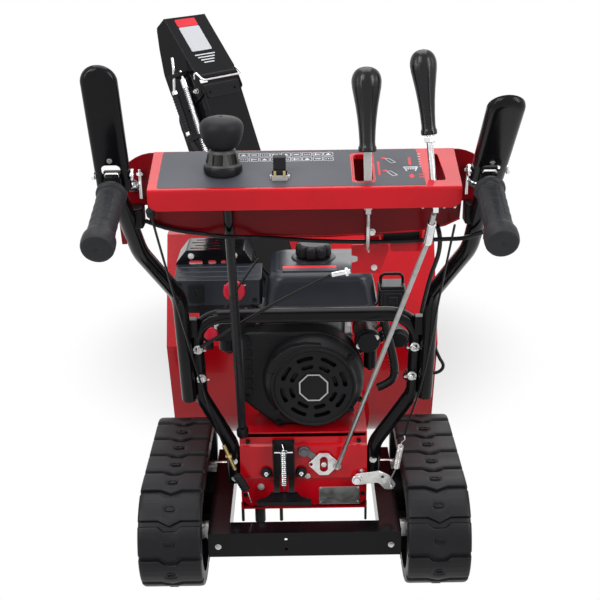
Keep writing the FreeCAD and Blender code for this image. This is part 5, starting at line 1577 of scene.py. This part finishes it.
def buildCables():
    for name, (radius, route) in cables.items():
        cable(name, route, radius)
    beads("hoseRibs", along((164, -77, 512), (186, -86, 404), 16), 8.2, 1.0, "blackPlastic")
    # ferrules, adjusters and boots at the cables' ends
    brassy, black, steel = Form(), Form(), Form()
    steel.bar((82, -389, 729), (51, -389, 723), 4, 20, 0.8)
    steel.lathe([(2, 0), (6.4, 0), (7, 0.8), (7, 4), (6.4, 5), (2, 5)], (78, -389, 728.4), (51, -389, 723),
                6)
    brassy.bar((-158, -160, 286), (-138, -152, 226), 4, 20, 0.8)
    brassy.lathe([(2, 0), (6.6, 0), (7.2, 0.8), (7.2, 5), (6.6, 6), (2, 6)], (-150, -157, 262),
                 (-138, -152, 226), 6)
    steel.bar((-114, -150, 172), (-108, -150, 148), 1.6, 12)
    piece("cableFerrules", steel, "chrome", bevel=0.3)
    piece("cableAdjuster", brassy, "brass", bevel=0.3)
    black.lathe([(3, 0), (7, 0), (8, 2), (8, 34), (6, 40), (3, 42)], (-135, -150, 212), (-116, -150, 175),
                28)
    black.lathe([(3, 0), (6, 0), (6.6, 1), (6.6, 12), (5, 14), (3, 14)], (-230, -459, 857),
                (-224, -386, 754), 24)
    piece("cableBoots", black, "softBlack", bevel=0.4)
    beads("bootRibs", along((-133, -150, 208), (-118, -150, 179), 7), 8.0, 1.2, "softBlack")
    coil("armSpring", (193, -161, 279), (186, -152, 226), 5.4, 1.1, 18)
    hooks = Form().rod([(200, -165, 303), (201, -165, 296), (196, -163, 290), (193, -161, 282),
                        (193, -161, 276)], 1.4, 10)
    hooks.rod([(186, -152, 228), (184, -150, 218), (178, -146, 200), (178, -143, 182), (181, -142, 174),
               (177, -142, 172)], 1.4, 10)
    hooks.rod([(107, -440, 823), (107, -436, 800), (108, -410, 776), (110, -403, 768)], 3.0, 12)
    hooks.bar((107, -440, 822), (104, -484, 868), 3.0, 14)
    piece("springHooks", hooks, "zinc")
    # guide rings on the frame tubes
    rings = Form()
    for centre, radius in (((-196, -158, 470), 11), ((-199, -170, 520), 9), ((206, -170, 510), 10),
            ((203, -160, 442), 9)):
        line = [(centre[0] + u, centre[1] - 22, centre[2] + v) for u, v in circle(20, radius)]
        rings.rod(line, 2, 10, closed=True)
        rings.bar((centre[0], centre[1] - 22, centre[2]), (centre[0], centre[1] + 4, centre[2]), 3.4, 14)
    piece("guideRings", rings, "blackPaint", bevel=0.3)
    nuts = Form()
    for side in (-1, 1):
        for up, inset in ((352, 4), (282, 6)):
            x, y, z = onFrame(side * (handle["sides"][side] - inset), up, 13)
            wingNut(nuts, (x, y - 2, z), (-side * 0.45, -1, 0.1), 0.85)
            nuts.lathe([(3, 0), (8.2, 0), (9, 1), (9, 3), (3, 3)], (x, y, z), (x, y - 3, z), 28)
    piece("handleNuts", nuts, "zinc", bevel=0.4)
    clamps = Form()
    for side in (-1, 1):
        x, y, z = onFrame(side * (handle["sides"][side] + 10), 402, 9)
        clamps.slab("x", (x - 17, x + 17), rounding([(y - 13, z - 18), (y + 8, z - 18), (y + 8, z + 18),
                (y - 13, z + 18)], 3))
    piece("handleClamps", clamps, "blackPaint", bevel=3.0, segments=3)


buildRearCover()
buildPedal()
buildLinkages()
buildCables()
print("rear ready")


# chute, hood and its return spring

chute = {"axis": (-174.68, 285.93, 918.0), "turned": 50.0, "lean": 21.8, "half": 56.0, "wall": 2.5,
         "back": -12.0, "front": 91.0, "hoodTilt": 17.4, "hoodHalf": 61.0, "hoodBack": -19.2,
         "hoodLow": 25.0, "hoodHigh": 168.5}


def leaned(extra):
    # from (across the chute, out from its back, up along it) measured at the hinge line
    turn, tilt = math.radians(chute["turned"]), math.radians(chute["lean"] + extra)
    side = Vector((math.cos(turn), math.sin(turn), 0))
    ahead = Vector((-math.sin(turn), math.cos(turn), 0))
    out = ahead * math.cos(tilt) - Vector((0, 0, 1)) * math.sin(tilt)
    up = ahead * math.sin(tilt) + Vector((0, 0, 1)) * math.cos(tilt)
    return Matrix.Translation(chute["axis"]) @ Matrix((side, out, up)).transposed().to_4x4()


onChute, onHood = leaned(0.0), leaned(chute["hoodTilt"])


def buildChute():
    half, wall, back, front = chute["half"], chute["wall"], chute["back"], chute["front"]
    # where a vertical line of the chute's foot lies on the leaned plane
    ring = Matrix.Translation((-67.5, 196, 441)) @ Matrix.Rotation(math.radians(chute["turned"]), 4, "Z")
    toFoot = onChute.inverted() @ ring

    def foot(y, z):
        spot = toFoot @ Vector((0, y, z))
        return (spot.y, spot.z)

    side = [foot(-61, 7), foot(42, 7), (front, -40), (62, -6), (24, 17), (back, 14)]
    side = rounding(side, [0, 0, 30, 20, 14, 6])
    form = Form()
    for edge in (-1, 1):
        near, far = sorted((edge * half, edge * (half - wall)))
        form.slab("x", (near, far), side)
    form.slab("x", (-half, half), [foot(-61, 7), foot(-61 + wall, 7), (back + wall, 12), (back, 12)])
    run = foot(56, 97)
    form.slab("x", (-half, half), [foot(42 - wall, 7), foot(42, 7), run, (run[0] - wall, run[1])])
    piece("chuteSheet", form.move(onChute), "blackPaint", ("chute_body",), body="chute", bevel=0.6)
    # turned flanges down the front edges, a beaded seam up each back corner
    trim = Form()
    for edge in (-1, 1):
        near, far = sorted((edge * half, edge * (half - 9)))
        trim.slab("x", (near, far), [(run[0] - 1, run[1]), (run[0] + 1.2, run[1]), (front + 0.4, -60),
                (front - 1.8, -60)])
        trim.rod([(edge * (half - 0.4), back + 0.4, z) for z in (12, -60, -200, -330, -440)], 1.5, 8)
    trim.rod([(x, 0, 0) for x in (-half + 1, 0, half - 1)], 14.4, 32)
    trim.slab("y", (back - 1.6, back + 1), rectangle(-half + 6, half - 6, -22, 6, 5))
    piece("chuteTrim", trim.move(onChute), "satinBlack", body="chute", bevel=0.5)
    spots = [(onChute @ Vector((x, back - 1.6, -9)), onChute.to_3x3() @ Vector(aft), 0.62)
             for x in (-38, 38)]
    fasteners("chuteRivets", "roundHead", spots, "satinBlack", body="chute")
    flange = Form().lathe([(83, 1.2), (85.4, 1.2), (86.6, 2.2), (86.6, 5), (85.4, 6.4), (83, 6.4)],
                          (-67.5, 196, 441), (-67.5, 196, 450), 72)
    piece("chuteRingEdge", flange, "blackPaint", body="chute")
    bolts = [((-67.5 + u, 196 + v, 448), (0, 0, 1), 0.85) for u, v in circle(6, 76, 0.5)]
    fasteners("chuteRingBolts", "hexBolt", bolts, body="chute")


def buildHood():
    half, back, low, high = chute["hoodHalf"], chute["hoodBack"], chute["hoodLow"], chute["hoodHigh"]
    wall = 2.5
    front = [(79.5, 0), (74.6, 40.7), (63.1, 82.6), (37.9, 129.6), (17.5, 162)]
    cheek = [(back, low - 6), (-14, -6), (-12, -14), (4, -16), (60, -16)] + front + [(12, high),
            (back, high)]
    cheek = rounding(cheek, [0, 4, 8, 8, 10, 10, 60, 60, 60, 6, 6, 0], 4)
    form = Form()
    for edge in (-1, 1):
        near, far = sorted((edge * half, edge * (half - wall)))
        form.slab("x", (near, far), cheek)
    form.slab("x", (-half, half), [(back, low), (back + wall, low), (back + wall, high), (back, high)])
    piece("hoodSheet", form.move(onHood), "blackPaint", ("deflector",), body="deflector_hood", bevel=0.7)
    trim = Form()
    trim.rod([(-half + 3, back + 4.4, low - 2), (0, back + 4.4, low - 2), (half - 3, back + 4.4, low - 2)],
             5.6, 24)
    for edge in (-1, 1):
        trim.rod([(edge * (half - 0.6), back + 0.5, high), (edge * (half - 0.6), back + 0.5, 90),
                  (edge * (half - 0.6), back + 0.5, low)], 1.5, 8)
        trim.lathe([(2, 0), (11, 0), (12, 1), (12, 2.4), (2, 2.4)], (edge * (half - 1), 0, 0),
                   (edge * 80, 0, 0), 32)
    trim.rod([(x, back + 1.2, high - 0.4) for x in (-half + 1, 0, half - 1)], 1.5, 8)
    piece("hoodTrim", trim.move(onHood), "satinBlack", body="deflector_hood", bevel=0.4)
    reach = half - 1
    wire = bentLine([(-reach, back - 1.5, low + 6), (-reach, back - 9, low - 17),
                     (reach, back - 9, low - 17), (reach, back - 1.5, low + 6)], [9, 9])
    bail = Form().rod(wire, 2.1, 14)
    for edge in (-1, 1):
        bail.rod(bentLine([(edge * reach, back - 1.5, low + 5), (edge * (reach + 1.6), back + 2, low + 7),
                           (edge * (reach + 1.6), back + 9, low - 2)], [3]), 2.1, 12)
    piece("hoodBail", bail.move(onHood), "chrome", body="deflector_hood")
    pins = [(onHood @ Vector((edge * (half + 1.2), 0, 0)), onHood.to_3x3() @ Vector((edge, 0, 0)), 0.95)
            for edge in (-1, 1)]
    fasteners("hoodPivots", "nut", pins, body="deflector_hood")
    label = Form().slab("y", (back - 0.7, back + 0.5), rectangle(-35, 25, 82, 143, 3))
    piece("hoodPanel", label.move(onHood), "paleLabel", body="deflector_hood")
    band = Form().slab("y", (back - 0.7, back + 0.5), rectangle(-35, 25, 144, 163, 3))
    piece("hoodBand", band.move(onHood), "redMark", body="deflector_hood")
    lines = Form()
    for n in range(4):
        lines.slab("y", (back - 0.5, back + 0.5), rectangle(-34 + 5 * n, 27 - 5 * n, 71 - 6.5 * n,
                73.4 - 6.5 * n, 1))
    piece("hoodLines", lines.move(onHood), "whiteMark", body="deflector_hood")


def buildReturn():
    # the spring, the cable's bracket and its boot on the left cheek of the chute
    def at(x, out, up):
        return onChute @ Vector((x, out, up))

    coil("returnSpring", at(-72, 20, 14), at(-72, 20, -128), 5.2, 1.15, 34, "chrome", body="chute")
    steel, black = Form(), Form()
    steel.bar(at(-72, 20, 52), at(-72, 20, -132), 2.6, 16, 0.5)
    steel.lathe([(2, 0), (6.2, 0), (6.8, 1), (6.8, 18), (6.2, 20), (2, 20)], at(-72, 20, 14),
                at(-72, 20, 40), 20)
    steel.bar(at(-83, 20, 82), at(-83, 26, 60), 3.2, 16)
    steel.bar(at(-83, 26, 60), at(-83, 46, 14), 3.2, 16)
    steel.lathe([(2, 0), (5.8, 0), (6.4, 0.8), (6.4, 7), (5.8, 8), (2, 8)], at(-83, 46, 16), at(-83, 46, 0),
                6)
    steel.lathe([(2, 0), (5.8, 0), (6.4, 0.8), (6.4, 8), (5.8, 9), (2, 9)], at(-83, 44, -74),
                at(-83, 42, -90), 6)
    piece("returnFittings", steel, "chrome", body="chute", bevel=0.3)
    black.lathe([(2, 0), (6.2, 0), (7, 1.5), (7, 76), (5.6, 80), (2, 80)], at(-83, 47, 4), at(-83, 44, -76),
                28)
    black.lathe([(2, 0), (5.4, 0), (5.4, 40), (4, 42), (2, 42)], at(-83, 42, -84), at(-81, 30, -140), 20)
    piece("returnBoot", black, "softBlack", body="chute", bevel=0.3)
    beads("returnBootRibs", along(at(-83, 47, 0), at(-83, 44, -72), 12), 7.0, 1.15, "softBlack",
          body="chute")
    bracket = Form()
    for up, out, length in ((44, 14, 30), (-92, 10, 40)):
        bracket.slab("z", (up - 4, up + 4), rectangle(-90, -56, out, out + length, 3))
    bracket.slab("x", (-59, -56.2), rectangle(6, 58, -104, -80, 4))
    bracket.move(onChute)
    piece("returnBracket", bracket, "satinBlack", body="chute", bevel=0.8)
    wire = [at(-81, 30, -138), at(-79, 22, -200), at(-74, 6, -300), at(-66, -16, -380), at(-40, -24, -430)]
    cable("returnCable", wire, 3.0, body="chute")


buildChute()
buildHood()
buildReturn()
print("chute ready")


# studio

studio = {"floorSize": 14.0, "floorTone": 0.5, "world": 0.22, "keyPower": 40.0, "fillPower": 26.0,
          "topPower": 62.0, "rearPower": 16.0, "stripPower": 9.0, "lens": 64.28, "lensShift": -0.0048,
          "camera": (0.0032, -2.0447, 1.3119), "pitch": 69.1, "roll": -0.8}


def addFloor():
    bpy.ops.mesh.primitive_plane_add(size=studio["floorSize"], location=(0, 1.0, 0))
    floor = bpy.context.object
    floor.name = "studioFloor"
    finish = Finish("floorWhite")
    tone = studio["floorTone"]
    near = finish.mix(finish.noise(6.0, 2.0), (tone, tone, tone), (tone * 0.98, tone * 0.98, tone * 0.98))
    shadow = finish.add("ShaderNodeBsdfDiffuse", {}, {"Color": near})
    glow = finish.add("ShaderNodeEmission", {}, {"Color": (1, 1, 1, 1), "Strength": 1.0})
    seen, mirror = finish.rays("Camera", "Glossy")
    far = finish.maths("SQRT", finish.x * finish.x + finish.y * finish.y).smooth(0.35, 0.75)
    both = finish.add("ShaderNodeMixShader", {}, {0: seen * (far * 0.45 + 0.55) + mirror, 1: shadow,
            2: glow})
    floor.data.materials.append(finish.close(both))


def addWorld():
    # a soft grey light, and plain white where the camera or a mirror looks past the floor
    world = bpy.data.worlds.new("studioWorld")
    bpy.context.scene.world = world
    world.use_nodes = True
    sky = Graph(world.node_tree)
    seen, mirror, through = sky.rays("Camera", "Glossy", "Transmission")
    soft, white = [sky.add("ShaderNodeBackground", {}, {"Color": (1, 1, 1, 1), "Strength": strength})
                   for strength in (studio["world"], 1.0)]
    either = sky.maths("MAXIMUM", sky.maths("MAXIMUM", seen, mirror), through)
    both = sky.add("ShaderNodeMixShader", {}, {0: either, 1: soft, 2: white})
    sky.add("ShaderNodeOutputWorld", {}, {0: both}, None)


def addLamp(name, power, size, spot, aim):
    light = bpy.data.lights.new(name, "AREA")
    light.shape, light.size, light.size_y, light.energy = "RECTANGLE", size[0], size[1], power
    lamp = linked(name, light)
    way = Vector(aim) - Vector(spot)
    lamp.matrix_world = Matrix.Translation(spot) @ way.to_track_quat("-Z", "Y").to_matrix().to_4x4()


def addCamera():
    lens = bpy.data.cameras.new("mainCamera")
    lens.sensor_width, lens.lens, lens.shift_x = 36.0, studio["lens"], studio["lensShift"]
    lens.clip_end = 60.0
    camera = linked("mainCamera", lens)
    pitch = Matrix.Rotation(math.radians(studio["pitch"]), 4, "X")
    roll = Matrix.Rotation(math.radians(studio["roll"]), 4, "Z")
    camera.matrix_world = Matrix.Translation(studio["camera"]) @ pitch @ roll
    bpy.context.scene.camera = camera


addFloor()
addWorld()
addLamp("keySoftbox", studio["keyPower"], (1.6, 1.6), (-1.6, -2.0, 2.6), (0, 0, 0.5))
addLamp("fillSoftbox", studio["fillPower"], (1.6, 1.6), (2.0, -1.6, 1.8), (0, 0, 0.5))
addLamp("topSoftbox", studio["topPower"], (2.4, 2.4), (0, 0.4, 3.2), (0, 0, 0.4))
addLamp("rearSoftbox", studio["rearPower"], (2.0, 1.4), (0.4, 3.0, 1.8), (0, 0, 0.5))
for name, side in (("stripLeft", -1), ("stripRight", 1)):
    addLamp(name, studio["stripPower"], (0.12, 1.6), (side * 1.5, -1.3, 1.5), (0, 0, 0.7))
addCamera()
bpy.context.scene.view_settings.view_transform = "Standard"
